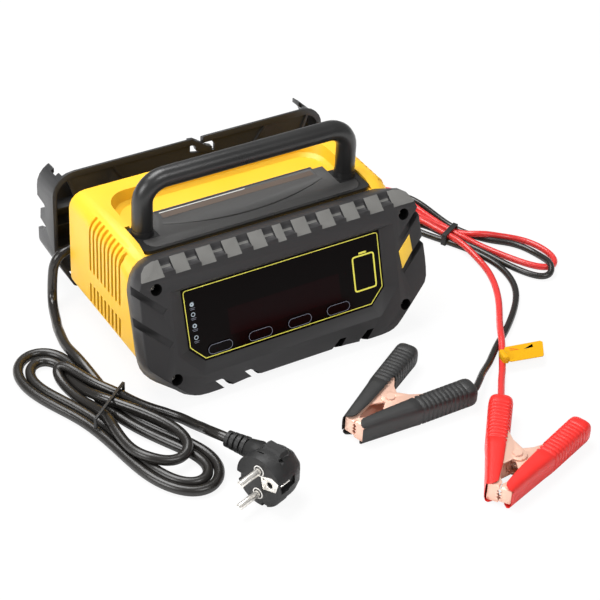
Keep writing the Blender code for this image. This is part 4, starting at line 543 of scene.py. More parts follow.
def put_in_frame(piece, frame_matrix):
    """Move a new piece into a frame and keep its own origin at the model's."""
    bpy.ops.object.transform_apply(location=True, rotation=True, scale=True)
    piece.matrix_world = frame_matrix
    bpy.ops.object.transform_apply(location=True, rotation=True, scale=True)


def block_piece(name, low, high, frame_matrix=Matrix.Identity(4)):
    """A box between two corners in millimetres."""
    bpy.ops.object.select_all(action="DESELECT")
    middle = [(a + b) / 2000 for a, b in zip(low, high)]
    size = [(b - a) / 1000 for a, b in zip(low, high)]
    bpy.ops.mesh.primitive_cube_add(size=1, location=middle, scale=size)
    piece = bpy.context.object
    piece.name = piece.data.name = name
    put_in_frame(piece, frame_matrix)
    return piece


def pick(*pieces):
    """Select only these pieces, the first one active."""
    bpy.ops.object.select_all(action="DESELECT")
    for piece in pieces:
        piece.select_set(True)
    bpy.context.view_layer.objects.active = pieces[0]


def cut(piece, *tools, operation="DIFFERENCE"):
    """Cut the piece by the tools joined into one, or add them to it."""
    pick(*tools)
    if len(tools) > 1:
        bpy.ops.object.join()
    change = piece.modifiers.new("cut", "BOOLEAN")
    change.operation = operation
    change.solver = "EXACT"
    change.object = tools[0]
    change.use_self = len(tools) > 1
    pick(piece)
    bpy.ops.object.modifier_apply(modifier="cut")
    bpy.data.objects.remove(tools[0], do_unlink=True)


def soften(piece, width, segments=2, angle=32):
    """Round every sharp edge a little and shade the rest smooth."""
    pick(piece)
    bpy.ops.object.mode_set(mode="EDIT")
    bpy.ops.mesh.select_all(action="SELECT")
    bpy.ops.mesh.remove_doubles(threshold=0.00002)
    bpy.ops.object.mode_set(mode="OBJECT")
    if width:
        edge = piece.modifiers.new("edge", "BEVEL")
        edge.width = width / 1000
        edge.segments = segments
        edge.limit_method = "ANGLE"
        edge.angle_limit = math.radians(angle)
        edge.use_clamp_overlap = True
        edge.miter_outer = "MITER_ARC"
        bpy.ops.object.modifier_apply(modifier="edge")
    bpy.ops.object.shade_smooth_by_angle(angle=math.radians(angle))


def solid_copy(node_name, name):
    """A merged copy of a plain solid, to be worked on as a new piece."""
    source = nodes[node_name]
    piece = bpy.data.objects.new(name, source.data.copy())
    piece.data.name = name
    scene.collection.objects.link(piece)
    piece.matrix_world = source.matrix_world
    pick(piece)
    bpy.ops.object.transform_apply(location=True, rotation=True, scale=True)
    bpy.ops.object.mode_set(mode="EDIT")
    bpy.ops.mesh.select_all(action="SELECT")
    bpy.ops.mesh.remove_doubles(threshold=0.00001)
    bpy.ops.mesh.customdata_custom_splitnormals_clear()
    bpy.ops.object.mode_set(mode="OBJECT")
    return piece


NEAR_SEAM = [(0, 105.6), (60, 105.4), (84, 105.0), (92, 104.5), (96.5, 103.0), (101.5, 98.8), (105.2, 92.4),
             (106.6, 86.0), (106.8, 78.0)]
AT_BODY = [(0, 112.4), (60, 112.4), (84, 112.4), (94.5, 112.2), (99.0, 111.2), (103.0, 108.2),
           (105.9, 103.6), (106.9, 98.6), (107.0, 91.0)]
housing = solid_copy("housing", "housing_shell")
for side in (-1, 1):
    low, high = sorted((90.6 * side, 106.2 * side))
    backing = block_piece("corner_backing", (low, 82, -34), (high, 107.5, -26.9), SLOPE)
    cut(housing, backing, operation="UNION")
for side in (-1, 1):
    rings = []
    for n, path in ((-25.0, [(x, y - 1.2) for x, y in NEAR_SEAM]), (-36.0, AT_BODY)):
        rings.append([(x * side, y, n) for x, y in path + [(125, path[-1][1]), (125, 130), (0, 130)]])
    cut(housing, skin_piece("front_round", rings, SLOPE))
soften(housing, 0, 1, 30)
hand_over(housing, None, "yellow_plastic", "housing")

# ---------------------------------------------------------------- cord cradle
# Black moulded cradle screwed behind the housing; the cord is wound round its two cheeks.
cradle = solid_copy("cord_cradle", "cradle_moulding")
for side in (-1, 1):
    low, high = sorted((80 * side, 104 * side))
    cut(cradle, block_piece("pocket_trim", (low, 160, 88), (high, 168, 100), CHARGER))
soften(cradle, 0.5, 2, 38)
hand_over(cradle, None, "black_plastic", "cord_cradle")

# ---------------------------------------------------------------- lid and carry handle
# Black lid screwed over the front half of the top, with a shallow crescent pressed into it and a plain
# information strip; the one-piece tubular handle stands in cups on either side.
CRESCENT_HALF, CRESCENT_WIDE = 64.0, 0.9
lid = solid_copy("top_lid", "lid_moulding")
arc = [(CRESCENT_HALF * t, 59.4 + 12.9 * t * t, CRESCENT_WIDE * (1 - t * t))
       for t in (i / 12 for i in range(-12, 13))]
crescent = [(x, y - wide) for x, y, wide in arc] + [(x, y + wide + 0.05) for x, y, wide in reversed(arc)]
cut(lid, prism("crescent", crescent, 93.4, 95.0, CHARGER))
soften(lid, 0.3, 2, 35)
LID_BLACK = finish("lid_black", (0.046, 0.045, 0.044), (0.058, 0.057, 0.056), (0.46, 0.58), 1500.0, 0.00012)
hand_over(lid, [LID_BLACK], "black_plastic", "top_lid")
LABEL_BROWN = finish("label_band", (0.085, 0.060, 0.045), (0.10, 0.072, 0.055), (0.35, 0.45), 900.0, 0.00002)
LABEL_LINE = finish("label_line", (0.50, 0.49, 0.46), (0.60, 0.59, 0.56), (0.4, 0.5), 900.0, 0.00002)
for name, low, high, material in (("label_band", (-60.0, 79.4, 93.88), (61.5, 85.0, 94.05), LABEL_BROWN),
                                  ("label_line", (-60.0, 85.5, 93.88), (8.0, 86.4, 94.08), LABEL_LINE)):
    strip = block_piece(name, low, high, CHARGER)
    soften(strip, 0.05, 1, 35)
    hand_over(strip, [material], "black_plastic")
handle = solid_copy("carry_handle", "handle_moulding")
soften(handle, 0, 1, 50)
hand_over(handle, [SATIN_BLACK], "black_plastic", "carry_handle")

# ---------------------------------------------------------------- front bezel
# Injection-moulded black frame on the charger's sloped front, screwed on through four deep corner
# holes: rounded flanks, a chamfered well for the display, scooped gaps between the grip flats along
# the top edge, slanted finger slots in both flanks and slanted slots in the foot.


def rod_piece(name, start, end, radius, frame_matrix, sides=32, end_radius=None):
    """A round rod or cone between two places of a frame, in millimetres."""
    bpy.ops.object.select_all(action="DESELECT")
    line = Vector(end) - Vector(start)
    turn = line.to_track_quat("Z", "Y").to_euler()
    bpy.ops.mesh.primitive_cone_add(vertices=sides, radius1=radius / 1000,
                                    radius2=(radius if end_radius is None else end_radius) / 1000,
                                    depth=line.length / 1000, location=(Vector(start) + Vector(end)) / 2000,
                                    rotation=turn)
    piece = bpy.context.object
    piece.name = piece.data.name = name
    put_in_frame(piece, frame_matrix)
    return piece


def both_sides(half):
    """An outline from its right half, listed from the foot up, and the mirrored left half."""
    return list(half) + [(-x, y) for x, y in reversed(half)]


def ring_at(half, n):
    """Both halves of an outline as a ring at a height above the slope."""
    return [(x, y, n) for x, y in both_sides(half)]


def eased(half):
    """Cut the corners of an open outline a quarter of the way along its sides."""
    fresh = [half[0]]
    for a, b in zip(half, half[1:]):
        fresh += [tuple(Vector(a).lerp(Vector(b), share)) for share in (0.25, 0.75)]
    return fresh + [half[-1]]


# the moulding's outline at its front face, at its widest and where it meets the housing
BEZEL_FRONT = [(40.0, 7.9), (58.0, 6.3), (75.0, 6.3), (83.0, 8.4), (90.0, 14.5), (106.5, 31.0),
               (112.2, 37.0), (113.1, 50.0), (112.3, 66.0), (111.2, 80.0), (110.9, 91.0), (107.0, 101.5),
               (99.0, 107.4), (84.0, 107.4)]
BEZEL_WIDEST = [(40.0, 5.4), (58.0, 4.7), (75.0, 4.7), (84.0, 6.8), (91.0, 12.5), (108.0, 29.5),
                (113.0, 36.5), (113.8, 50.0), (113.4, 66.0), (112.4, 80.0), (112.0, 91.5), (108.2, 102.5),
                (99.5, 108.2), (84.0, 108.2)]
BEZEL_SEAM = [(40.0, 10.8), (60.0, 10.8), (80.0, 10.8), (91.0, 10.8), (99.0, 15.6), (107.0, 25.5),
              (109.0, 36.0), (108.7, 50.0), (108.5, 66.0), (108.4, 80.0), (108.0, 88.0), (103.5, 99.0),
              (95.0, 105.2), (84.0, 105.6)]


def shrunk(half, by):
    """An outline drawn in toward its middle."""
    middle = Vector((0, 57))
    return [tuple(Vector(p) + (middle - Vector(p)).normalized() * by) for p in half]


BEZEL_RINGS = ((shrunk(BEZEL_FRONT, 0.9), 0.0), (shrunk(BEZEL_FRONT, 0.25), -0.3), (BEZEL_FRONT, -1.0),
               (BEZEL_WIDEST, -7.5), (BEZEL_WIDEST, -12.0), (BEZEL_SEAM, -26.6))
bezel = skin_piece("front_bezel_moulding", [ring_at(eased(half), n) for half, n in BEZEL_RINGS], SLOPE)
# well for the display: slanting walls down to the glass, then straight through to the hollow back
GLASS_TOP = -4.75
WELL_RIM = [(71.3, 20.6), (88.6, 39.4), (88.4, 86.6)]
GLASS = [(67.5, 28.3), (79.0, 39.8), (79.0, 83.6)]
cut(bezel, block_piece("hollow", (-86, 18, -30), (86, 97, -7.2), SLOPE))
cut(bezel, skin_piece("well", [ring_at(WELL_RIM, 0.6), ring_at(WELL_RIM, 0.0), ring_at(GLASS, GLASS_TOP),
                               ring_at(GLASS, -8.0)], SLOPE))
# flats of the grip: one chamfer plane, interrupted by scooped gaps
FLAT_FOOT, FLAT_RUN, FLAT_DROP = 98.0, 9.4, 7.0
PAD_EDGES = [3.4, 11.55, 22.85, 31.65, 42.95, 51.35, 62.65, 70.95, 82.25, 90.5]
SLAB = [(FLAT_FOOT - 1.34, 1.0), (FLAT_FOOT, 0.0), (FLAT_FOOT + FLAT_RUN, -FLAT_DROP), (112.0, -10.425),
        (112.0, 1.0)]
SCOOP = [(100.9, 1.0), (100.9, -2.4), (101.2, -4.6), (102.0, -6.2), (103.4, -7.3), (105.4, -7.9),
         (112.0, -9.0), (112.0, 1.0)]


def bar_along(name, profile, left, right):
    """A bar across the slope with one profile, listed as height up the slope and out of it."""
    return skin_piece(name, [[(u, v, n) for v, n in profile] for u in (left, right)], SLOPE)


def mirrored(spans):
    """Each span across the front, and its twin on the other side."""
    return [span for a, b in spans for span in ((a, b), (-b, -a))]


flats = [(-PAD_EDGES[0], PAD_EDGES[0])] + mirrored(zip(PAD_EDGES[1::2], PAD_EDGES[2::2]))
flats += mirrored([(PAD_EDGES[-1], 118.0)])
cut(bezel, *[bar_along("flat", SLAB, left, right) for left, right in flats])
gaps = mirrored(zip(PAD_EDGES[0::2], PAD_EDGES[1::2]))
cut(bezel, *[bar_along("scoop", SCOOP, left, right) for left, right in gaps])
# slanted slots in the foot and in the flanks, and the four screw holes
FOOT_SLOT = [(57.6, 2.0), (51.0, 3.5), (51.8, 8.4), (58.9, 14.0), (64.4, 13.8), (58.4, 6.9)]
FOOT_SLOT_STEP = -23.0
FLANK_SLOTS = (((113.5, 93.2), (94.0, 73.7)), ((114.5, 70.3), (92.6, 49.0)))
FLANK_SLOT_HALF = 2.35
SCREW_SPOTS = ((98.0, 90.9), (92.5, 23.5))
SCREW_HOLE = 4.2
slots = []
for side in (-1, 1):
    for shift in (0.0, FOOT_SLOT_STEP):
        mouth = [((x + shift) * side, y, 1.0) for x, y in FOOT_SLOT]
        back = [(x, 5.0 + (y - 5.0) * 0.45, -28.0) for x, y, _ in mouth]
        slots.append(skin_piece("foot_slot", [mouth, back], SLOPE))
    for start, end in FLANK_SLOTS:
        along = (Vector(end) - Vector(start)).normalized()
        across = Vector((-along.y, along.x)) * FLANK_SLOT_HALF
        length = (Vector(end) - Vector(start)).length
        profile = [(-4.0, 2.0), (length, 2.0), (length, -0.9), (length * 0.66, -1.6), (length * 0.45, -7.0),
                   (-4.0, -14.0)]
        rings = []
        for flip in (-1, 1):
            spots = [(Vector(start) + along * s + across * flip, n) for s, n in profile]
            rings.append([(spot.x * side, spot.y, n) for spot, n in spots])
        slots.append(skin_piece("flank_slot", rings, SLOPE))
    for u, v in SCREW_SPOTS:
        slots.append(rod_piece("screw_hole", (u * side, v, 1.0), (u * side, v, -20.0), SCREW_HOLE, SLOPE))
cut(bezel, *slots)
INSERT = [(91.1, 64.7), (92.8, 51.1), (102.4, 62.5), (101.1, 75.0)]
cut(bezel, prism("insert_seat", INSERT, 1.0, -1.6, SLOPE))
soften(bezel, 0.22, 2, 24)
BEZEL_BLACK = finish("bezel_black", (0.024, 0.023, 0.024), (0.032, 0.031, 0.032), (0.42, 0.52), 1500.0,
                     0.00008, level=0.35)
GRIP_GREY = finish("grip_flat_grey", (0.135, 0.133, 0.125), (0.165, 0.163, 0.155), (0.6, 0.7), 1700.0,
                   0.0002, level=0.3)
# painted shade: a near-black material put on the walls inside the screw holes and foot slots, where only
# shade falls
PAINTED_RECESS_SHADE = finish("painted_recess_shade", (0.004, 0.004, 0.004), (0.006, 0.006, 0.006), (0.6, 0.7), 1500.0,
                      0.00004, level=0.05)
hand_over(bezel, [BEZEL_BLACK, GRIP_GREY, PAINTED_RECESS_SHADE], "black_plastic", "front_bezel")
# the flats are a lighter grey plastic, and the walls inside the screw holes and foot slots get painted shade
into_slope = SLOPE.inverted()
flat_normal = Vector((0, FLAT_DROP, FLAT_RUN)).normalized()
for face in bezel.data.polygons:
    spot = into_slope @ face.center * 1000
    out = into_slope.to_3x3() @ face.normal
    place = Vector((abs(spot.x), spot.y))
    in_hole = any((place - Vector(hole)).length < SCREW_HOLE + 0.1 for hole in SCREW_SPOTS)
    in_foot_slot = 27 < abs(spot.x) < 64.5 and spot.y < 14.5 and out.z < 0.3 and out.y > -0.6
    # painted shade on the walls inside the screw holes and foot slots
    if spot.z < -1.2 and (in_hole or in_foot_slot):
        face.material_index = 2
    elif out.dot(flat_normal) > 0.995 and spot.y > FLAT_FOOT - 0.5:
        face.material_index = 1

insert = prism("accent_inlay", INSERT, 0.35, -1.5, SLOPE)
soften(insert, 0.4, 3, 30)
ACCENT_YELLOW = finish("accent_yellow", (0.90, 0.56, 0.05), (0.94, 0.61, 0.065), (0.35, 0.45), 1200.0,
                       0.00004)
hand_over(insert, [ACCENT_YELLOW], "yellow_plastic", "accent_insert")

# ---------------------------------------------------------------- display print
# Silk-screened marks on the back-lit glass: a yellow frame line, a battery outline, four small white
# marks, a dim red segment window and a thin grey outline on each key.
PRINT_THICK = 0.12


def strip_piece(name, outer, inner, height, material, slot_name, body="charger"):
    """A flat printed band between two outlines of equal count, its top at a height over the glass."""
    piece = start_piece(name)
    for ring in (outer, inner):
        trace_ring(lay_out([(x, y, GLASS_TOP + height - PRINT_THICK) for x, y in ring], SLOPE))
    bpy.ops.mesh.select_all(action="SELECT")
    bpy.ops.mesh.bridge_edge_loops()
    bpy.ops.mesh.select_all(action="SELECT")
    lift = SLOPE.to_3x3() @ Vector((0, 0, PRINT_THICK * 0.001))
    bpy.ops.mesh.extrude_region_move(TRANSFORM_OT_translate={"value": lift})
    bpy.ops.mesh.select_all(action="SELECT")
    bpy.ops.mesh.normals_make_consistent(inside=False)
    bpy.ops.object.mode_set(mode="OBJECT")
    hand_over(piece, [material], slot_name, body=body)


def round_corners(points, radii, steps=5):
    """A closed outline with an arc at each corner."""
    result = []
    for i, corner in enumerate(points):
        here, before, after = (Vector(p) for p in (corner, points[i - 1], points[(i + 1) % len(points)]))
        a = here + (before - here).normalized() * radii[i]
        b = here + (after - here).normalized() * radii[i]
        for t in (k / steps for k in range(steps + 1)):
            result.append(tuple(a * (1 - t) ** 2 + here * 2 * t * (1 - t) + b * t ** 2))
    return result


def box_outline(left, low, right, high, radius, steps=5):
    """A closed outline of a box with rounded corners."""
    return round_corners([(left, low), (right, low), (right, high), (left, high)], [radius] * 4, steps)


def outline_inside(points, by):
    """The same closed outline moved inwards by a distance."""
    result = []
    for i, here in enumerate(points):
        a = Vector(here) - Vector(points[i - 1])
        b = Vector(points[(i + 1) % len(points)]) - Vector(here)
        a = a if a.length > 1e-6 else b
        b = b if b.length > 1e-6 else a
        mean = (a.normalized() + b.normalized()).normalized()
        lean = max(0.5, mean.dot(a.normalized()))
        result.append(tuple(Vector(here) + Vector((-mean.y, mean.x)) * by / lean))
    return result


PRINT_YELLOW = finish("print_yellow", (0.98, 0.90, 0.10), (1.0, 0.94, 0.14), (0.4, 0.5), 900.0, 0.00001)
PRINT_WHITE = finish("print_white", (0.42, 0.50, 0.56), (0.50, 0.58, 0.64), (0.4, 0.5), 900.0, 0.00001)
PRINT_GREY = finish("print_grey", (0.16, 0.17, 0.22), (0.20, 0.21, 0.26), (0.4, 0.5), 900.0, 0.00001)
WINDOW_RED = finish("segment_window", (0.006, 0.0010, 0.0014), (0.008, 0.0013, 0.0017), (0.1, 0.14), 900.0,
                    0.00001, level=0.06)
frame_corners = [(-67.1, 29.9), (67.1, 29.9), (77.6, 40.8), (77.6, 82.2), (-77.6, 82.2), (-77.6, 40.8)]
for name, outline, wide in (
        ("frame_line", round_corners(frame_corners, (0.3, 0.3, 0.3, 2.6, 2.6, 0.3)), 0.55),
        ("battery_outline", box_outline(54.8, 42.0, 73.3, 69.0, 2.6), 1.15),
        ("battery_cap", box_outline(60.8, 69.6, 67.0, 71.0, 0.4), 0.62)):
    strip_piece(name, outline, outline_inside(outline, wide), 0.10, PRINT_YELLOW, "yellow_plastic")
window = prism("segment_window", box_outline(-46.0, 41.0, 43.0, 60.5, 0.5, 2), GLASS_TOP - 0.05,
               GLASS_TOP + 0.03, SLOPE)
hand_over(window, [WINDOW_RED], "display_gloss")

MARK_U, MARK_RADIUS = -72.0, 1.6
for i, (v, thick) in enumerate(((71.3, 1.2), (63.9, 0.5), (55.6, 0.8), (47.0, 0.5))):
    spokes = [(math.cos(a), math.sin(a)) for a in (2 * math.pi * k / 20 for k in range(20))]
    ring, hole = ([(MARK_U + radius * x, v + radius * y) for x, y in spokes]
                  for radius in (MARK_RADIUS, MARK_RADIUS - thick))
    strip_piece(f"state_mark_{i + 1}", ring, hole, 0.10, PRINT_WHITE, "display_gloss")
    for k, half_wide in enumerate((2.1, 1.6)):
        low = v - 2.9 - 1.0 * k
        bar = block_piece(f"state_bar_{i + 1}_{k + 1}", (MARK_U - half_wide, low, GLASS_TOP - 0.02),
                          (MARK_U + half_wide, low + 0.36, GLASS_TOP + 0.1), SLOPE)
        hand_over(bar, [PRINT_GREY], "display_gloss")

# a stadium on each key's face, which stands a little over the glass
KEY_FIRST, KEY_PITCH, KEY_V = -55.2, 31.6, 35.2
KEY_HALF, KEY_ROUND = 9.45, 3.55
for i in range(4):
    u = KEY_FIRST + KEY_PITCH * i
    bend = [math.pi * k / 10 for k in range(11)]
    stadium = [(u + KEY_HALF - KEY_ROUND * (1 - math.sin(a)), KEY_V - KEY_ROUND * math.cos(a)) for a in bend]
    stadium += [(2 * u - x, 2 * KEY_V - y) for x, y in stadium]
    strip_piece(f"key_outline_{i + 1}", stadium, outline_inside(stadium, 0.33), 0.88, PRINT_GREY,
                "display_gloss", f"key_{'abcd'[i]}")

# ---------------------------------------------------------------- plug
# Moulded angled plug: round face with two pins in pale collars and side earth contacts, faceted back,
# a finger ridge on top and a ribbed strain relief on the cord.
plug_frame = (Matrix.Translation(charger_spot(-0.0927, -0.1147, 0.0190))
              @ Matrix.Rotation(math.radians(18.9), 4, "Z"))


def plug_ring(x, radius, flat):
    """A ring across the plug between a circle (flat 0) and an octagon (flat 1)."""
    ring = []
    for i in range(40):
        a = 2 * math.pi * i / 40
        eighth = (a + math.pi / 8) % (math.pi / 4) - math.pi / 8
        r = radius * (1 - flat + flat * math.cos(math.pi / 8) / math.cos(eighth))
        ring.append((x, r * math.cos(a), r * math.sin(a)))
    return ring


plug = skin_piece("plug_moulding", [plug_ring(*ring) for ring in (
    (0.0, 18.0, 0), (0.25, 18.5, 0), (0.9, 18.8, 0), (8.2, 18.8, 0), (8.5, 18.4, 0.1), (13.0, 18.7, 0.7),
    (17.0, 18.4, 1), (24.0, 15.6, 1), (28.5, 11.5, 1))], plug_frame)
ridge = block_piece("ridge", (11.5, -8.0, 8.0), (21.5, 9.0, 18.9), plug_frame)
soften(ridge, 2.0, 1, 60)
cut(plug, ridge, operation="UNION")
RELIEF_START, RELIEF_END = Vector((21.0, 25.0, 0)), Vector((17.9, 43.2, 0))
for start, end, wide, sides, narrow in (((16.5, 4.0, 0), (20.4, 20.0, 0), 12.2, 32, 9.0),
                                        ((20.3, 19.0, 0), (21.0, 26.5, 0), 9.2, 32, 6.6),
                                        (RELIEF_START, RELIEF_END, 5.2, 28, 4.7)):
    cut(plug, rod_piece("neck", start, end, wide, plug_frame, sides, narrow), operation="UNION")
for i in range(4):
    start, end = (RELIEF_START.lerp(RELIEF_END, share + 0.225 * i) for share in (0.155, 0.295))
    rib = rod_piece("rib", start, end, 6.9 - 0.35 * i, plug_frame, 28, 6.75 - 0.35 * i)
    cut(plug, rib, operation="UNION")
cut(plug, rod_piece("cord_bore", (19.8, 31.5, 0), (17.2, 46.5, 0), 3.75, plug_frame, 28))
PIN_OUT = 9.5
for side in (-1, 1):
    cut(plug, rod_piece("pin_bore", (-1, 0, PIN_OUT * side), (10, 0, PIN_OUT * side), 2.5, plug_frame, 24))
EARTH = [(-0.9, 6.0), (-10.6, 9.4), (-16.6, 7.4), (-14.6, -1.2), (-3.4, -4.4)]
cut(plug, skin_piece("earth_seat", [[(x, y, z) for y, z in EARTH] for x in (-1.0, 1.9)], plug_frame))
for name, low, high in (("earth_slot", (0.8, -20.0, 0.2), (15.5, -15.4, 6.8)),
                        ("guide_left", (-1.0, 14.8, -7.6), (14.0, 20.0, -1.2)),
                        ("guide_low", (-1.0, -8.0, -20.0), (13.0, -3.8, -15.6)),
                        ("latch_side", (9.6, -11.0, 14.6), (12.6, -7.4, 20.0)),
                        ("latch_top", (6.0, 2.0, 16.9), (7.0, 7.4, 20.0))):
    cut(plug, block_piece(name, low, high, plug_frame))
soften(plug, 0.35, 2, 26)
hand_over(plug, [RUBBER], "rubber", "plug_body")

contact = [(y * 0.97 - 0.2, z * 0.96 + 0.1) for y, z in EARTH]
earth = skin_piece("earth_contact", [[(x, y, z) for y, z in contact] for x in (0.2, 1.4)], plug_frame)
cut(earth, block_piece("earth_side", (0.9, -17.9, 5.9), (9.6, -16.4, 6.6), plug_frame), operation="UNION")
cut(earth, rod_piece("earth_hole", (-1, -9.2, 2.6), (3, -9.2, 2.6), 2.3, plug_frame, 24))
cut(earth, rod_piece("earth_dimple", (-1, -3.8, 4.6), (3, -3.8, 4.6), 0.7, plug_frame, 12))
soften(earth, 0.2, 2, 35)
hand_over(earth, [STEEL], "steel", "earth_plate")

COLLAR_WHITE = finish("pin_collar", (0.86, 0.84, 0.80), (0.90, 0.88, 0.84), (0.4, 0.5), 900.0, 0.00003)
for i, side in enumerate((-1, 1)):
    pin = solid_copy(f"plug_pin_{i + 1}", f"plug_pin_{i + 1}_round")
    soften(pin, 0.35, 3, 35)
    hand_over(pin, None, "steel", f"plug_pin_{i + 1}")
    z = PIN_OUT * side
    collar = rod_piece(f"pin_collar_{i + 1}", (-0.35, 0, z), (0.6, 0, z), 4.1, plug_frame)
    cut(collar, rod_piece("collar_bore", (-2, 0, z), (2, 0, z), 3.35, plug_frame))
    soften(collar, 0.2, 2, 35)
    hand_over(collar, [COLLAR_WHITE], "steel")

# ---------------------------------------------------------------- clamps
# Two stamped, copper-plated jaws turn on a rivet with a torsion spring; each wears a soft PVC sleeve
# pushed over its arm, open toward the other jaw, stepped and ribbed round the grip.


def swept_ring(name, ring, stations):
    """Draw a ring across the x axis, then pull it out station by station, resizing it each time.

    A station is (x, width, height) as a share of the ring's own."""
    piece = start_piece(name)
    first = stations[0]
    trace_ring([Vector((first[0], y * first[1], z * first[2])) * 0.001 for y, z in ring])
    bpy.ops.mesh.select_all(action="SELECT")
    for before, here in zip(stations, stations[1:]):
        step = ((here[0] - before[0]) * 0.001, 0, 0)
        bpy.ops.mesh.extrude_region_move(TRANSFORM_OT_translate={"value": step})
        bpy.ops.transform.resize(value=(1, here[1] / before[1], here[2] / before[2]),
                                 center_override=(here[0] * 0.001, 0, 0))
    close_skin()
    return piece


def rounded_section(power, count=32):
    """A rounded square of half size 1."""
    ring = []
    for i in range(count):
        a = 2 * math.pi * (i + 0.5) / count
        ring.append((math.copysign(abs(math.cos(a)) ** power, math.cos(a)),
                     math.copysign(abs(math.sin(a)) ** power, math.sin(a))))
    return ring


def sleeve_size(s):
    """Half width and half height of a sleeve at s along its arm."""
    at = [-0.5, 20.0, 40.0, 46.0, 88.0, 90.5, 92.0, 93.0]
    wide = [5.3, 6.2, 7.3, 8.0, 8.5, 8.1, 7.3, 5.6]
    tall = [8.4, 8.8, 8.8, 8.8, 8.6, 8.2, 7.4, 5.7]
    return float(np.interp(s, at, wide)), float(np.interp(s, at, tall))


RIB_FIRST, RIB_PITCH, RIB_COUNT, RIB_DEEP = 48.0, 3.6, 10, 0.5
stations = [(s, *sleeve_size(s)) for s in (-0.5, 10.0, 20.0, 30.0, 40.0, 45.8)]
stations += [(46.2, 7.4, 8.1), (47.4, 7.45, 8.15)]
for i in range(RIB_COUNT):
    for past, deep in ((0.0, 0.0), (2.2, 0.0), (2.6, RIB_DEEP), (3.2, RIB_DEEP)):
        s = RIB_FIRST + RIB_PITCH * i + past
        wide, tall = sleeve_size(s)
        stations.append((s, wide - deep, tall - deep))
stations += [(s, *sleeve_size(s)) for s in (84.2, 88.0, 90.5, 91.4, 92.0, 92.6, ARM_LENGTH)]
sleeve = swept_ring("sleeve", rounded_section(0.58), stations)
sleeve.matrix_world = Matrix.Translation((*(Vector(ARM_TIP) * 0.001), 0)) @ Matrix.Rotation(ARM_ANGLE, 4, "Z")
bpy.ops.object.transform_apply(location=True, rotation=True, scale=True)
inside = [(-40.0, 8.45), (-40.0, -10.0), (12.6, -10.0), (12.6, 7.0), arm_point(61.2, -4.9),
          arm_point(61.2, 5.5)]
hollow = prism("sleeve_hollow", inside, -7.5, 7.5)
soften(hollow, 2.0, 4, 40)
cut(sleeve, hollow)
mouth = arm_point(45.5, 0.0)[0]
lip = [(-40.0, -10.0), (mouth, -10.0), (mouth, 10.4), (mouth - 1.2, 10.6), (mouth - 6.0, 8.6), (-14.0, 5.4),
       (-31.0, 2.8), (-34.0, 3.6), (-37.2, 6.4), (-40.0, 9.0)]
cut(sleeve, prism("sleeve_opening", lip, -20, 20))
soften(sleeve, 0.12, 1, 35)


def place_copy(piece, name, matrix, mirror):
    """An own-mesh copy of a piece, mirrored across y if asked, moved into the model."""
    twin = bpy.data.objects.new(name, piece.data.copy())
    twin.data.name = name
    scene.collection.objects.link(twin)
    pick(twin)
    twin.matrix_world = matrix @ Matrix.Diagonal((1, -1 if mirror else 1, 1, 1))
    bpy.ops.object.transform_apply(location=True, rotation=True, scale=True)
    bpy.ops.object.mode_set(mode="EDIT")
    bpy.ops.mesh.select_all(action="SELECT")
    bpy.ops.mesh.normals_make_consistent(inside=False)
    bpy.ops.object.mode_set(mode="OBJECT")
    return twin


def round_back(jaw, clamp_frame, side, half):
    """Cut the corner off the two long edges of a jaw's channel, as its bend does."""
    for flip in (-1, 1):
        rings = []
        for x, y in ((-37.0, 7.9), arm_point(61.0, 5.2)):
            corner = [(y - 1.35, half + 0.6), (y + 0.9, half + 0.6), (y + 0.9, half - 1.65)]
            rings.append([(x, past * side, z * flip) for past, z in corner])
        cut(jaw, skin_piece("bend", rings, clamp_frame))


def cut_across(jaw, profile, far, clamp_frame, side):
    """Cut a jaw's mouth by a bar that runs in from its tip."""
    cut(jaw, skin_piece("bar", [[(x, y * side, z) for y, z in profile] for x in (-38.0, far)], clamp_frame))


TOOTH_PITCH, TOOTH_HALF, TOOTH_DEEP = 2.7, 1.55, 1.9
LEAD_BORE = 2.75
for colour, grip in (("black", GRIP_BLACK), ("red", GRIP_RED)):
    pivot, bearing, fixed_side = CLAMPS[colour]
    clamp_frame = (Matrix.Translation(charger_spot(*(Vector((*pivot, CLAMP_MIDDLE_Z)) * 0.001)))
                   @ Matrix.Rotation(bearing, 4, "Z"))
    for part, side, body, half in (("fixed", fixed_side, "charger", 6.9),
                                   ("moving", -fixed_side, f"{colour}_lever", 5.6)):
        cover = place_copy(sleeve, f"{colour}_{part}_sleeve", clamp_frame, side < 0)
        if part == "fixed":
            start, end = ((x, y * side, 0) for x, y in (arm_point(81.0, 0.0), arm_point(97.0, 0.0)))
            cut(cover, rod_piece("lead_hole", start, end, LEAD_BORE, clamp_frame, 24))
        hand_over(cover, [grip], f"grip_{colour}", f"{colour}_{part}_grip", body=body)
        jaw = solid_copy(f"{colour}_{part}_jaw", f"{colour}_{part}_jaw_plate")
        for z in (-TOOTH_PITCH, 0.0, TOOTH_PITCH):
            tooth = [(0.1, z - TOOTH_HALF), (TOOTH_DEEP, z), (0.1, z + TOOTH_HALF), (-TOOTH_DEEP, z)]
            cut_across(jaw, tooth, -30.0, clamp_frame, side)
        notch = [(0.1, half - 1.2), (1.4, half + 0.6), (-1.4, half + 0.6)]
        cut_across(jaw, notch, -33.0, clamp_frame, side)
        round_back(jaw, clamp_frame, side, half)
        soften(jaw, 0.25, 2, 35)
        hand_over(jaw, None, "copper_plate", f"{colour}_{part}_jaw", body=body)
    lead, length = leads[colour]
bpy.data.objects.remove(sleeve, do_unlink=True)

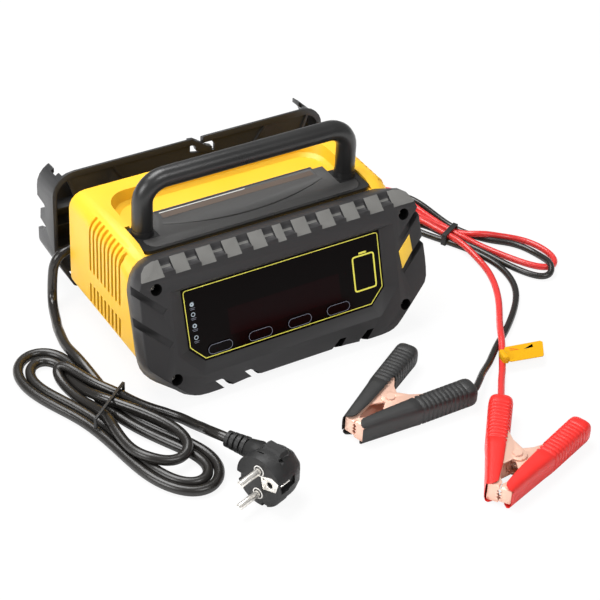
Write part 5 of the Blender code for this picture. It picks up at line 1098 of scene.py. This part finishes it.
# ---------------------------------------------------------------- ties and lead tag
# A thin band holds the mains cord and a wider one the leads, both of soft black plastic; a folded
# yellow paper flag is stuck round the red lead.
HANK_TIE_TURN = math.atan2(23.4, 30.7)
for name in ("hank_tie", "lead_tie"):
    tie = solid_copy(name, f"{name}_band")
    if name == "hank_tie":
        middle = sum((vertex.co for vertex in tie.data.vertices), Vector()) / len(tie.data.vertices)
        tie_frame = Matrix.Translation(middle) @ Matrix.Rotation(HANK_TIE_TURN, 4, "Z")
        for low, high in ((1.1, 9.0), (-9.0, -1.1)):
            cut(tie, block_piece("trim", (-40, low, -40), (40, high, 40), tie_frame))
    soften(tie, 0.5, 3, 35)
    hand_over(tie, None, "rubber", name)
FLAG = [(134.2, -68.2), (139.5, -63.4), (166.6, -69.0), (167.4, -71.0), (159.2, -83.4), (157.6, -84.4),
        (134.0, -79.0), (131.4, -76.6)]
FLAG_LOOP = [(131.6, -66.4), (135.2, -67.4), (133.6, -77.4), (129.0, -75.8)]
flag = prism("lead_flag", FLAG, 7.6, 8.2, CHARGER)
loop = prism("flag_loop", FLAG_LOOP, 4.9, 11.3, CHARGER)
soften(loop, 1.2, 3, 35)
cut(flag, loop, operation="UNION")
soften(flag, 0.12, 1, 35)
hand_over(flag, [TAG_YELLOW], "tag", "lead_tag")
MARK_RED = finish("mark_red", (0.60, 0.03, 0.01), (0.66, 0.04, 0.015), (0.4, 0.5), 900.0, 0.00002)
MARK_BLACK = finish("mark_black", (0.02, 0.015, 0.01), (0.03, 0.02, 0.012), (0.4, 0.5), 900.0, 0.00002)
for name, stroke, material in (
        ("flag_mark_red", ((141.3, -65.9), (146.6, -70.2), (140.4, -68.4)), MARK_RED),
        ("flag_mark_black", ((159.0, -69.6), (151.2, -71.6), (157.6, -72.6)), MARK_BLACK)):
    (ax, ay), (bx, by), (cx, cy) = stroke
    outline = [(ax, ay), (bx + 0.3, by - 0.3), (cx, cy), (cx - 0.1, cy + 0.5), (bx - 0.9, by + 0.2),
               (ax - 0.2, ay - 0.5)]
    hand_over(prism(name, outline, 8.0, 8.3, CHARGER), [material], "tag")
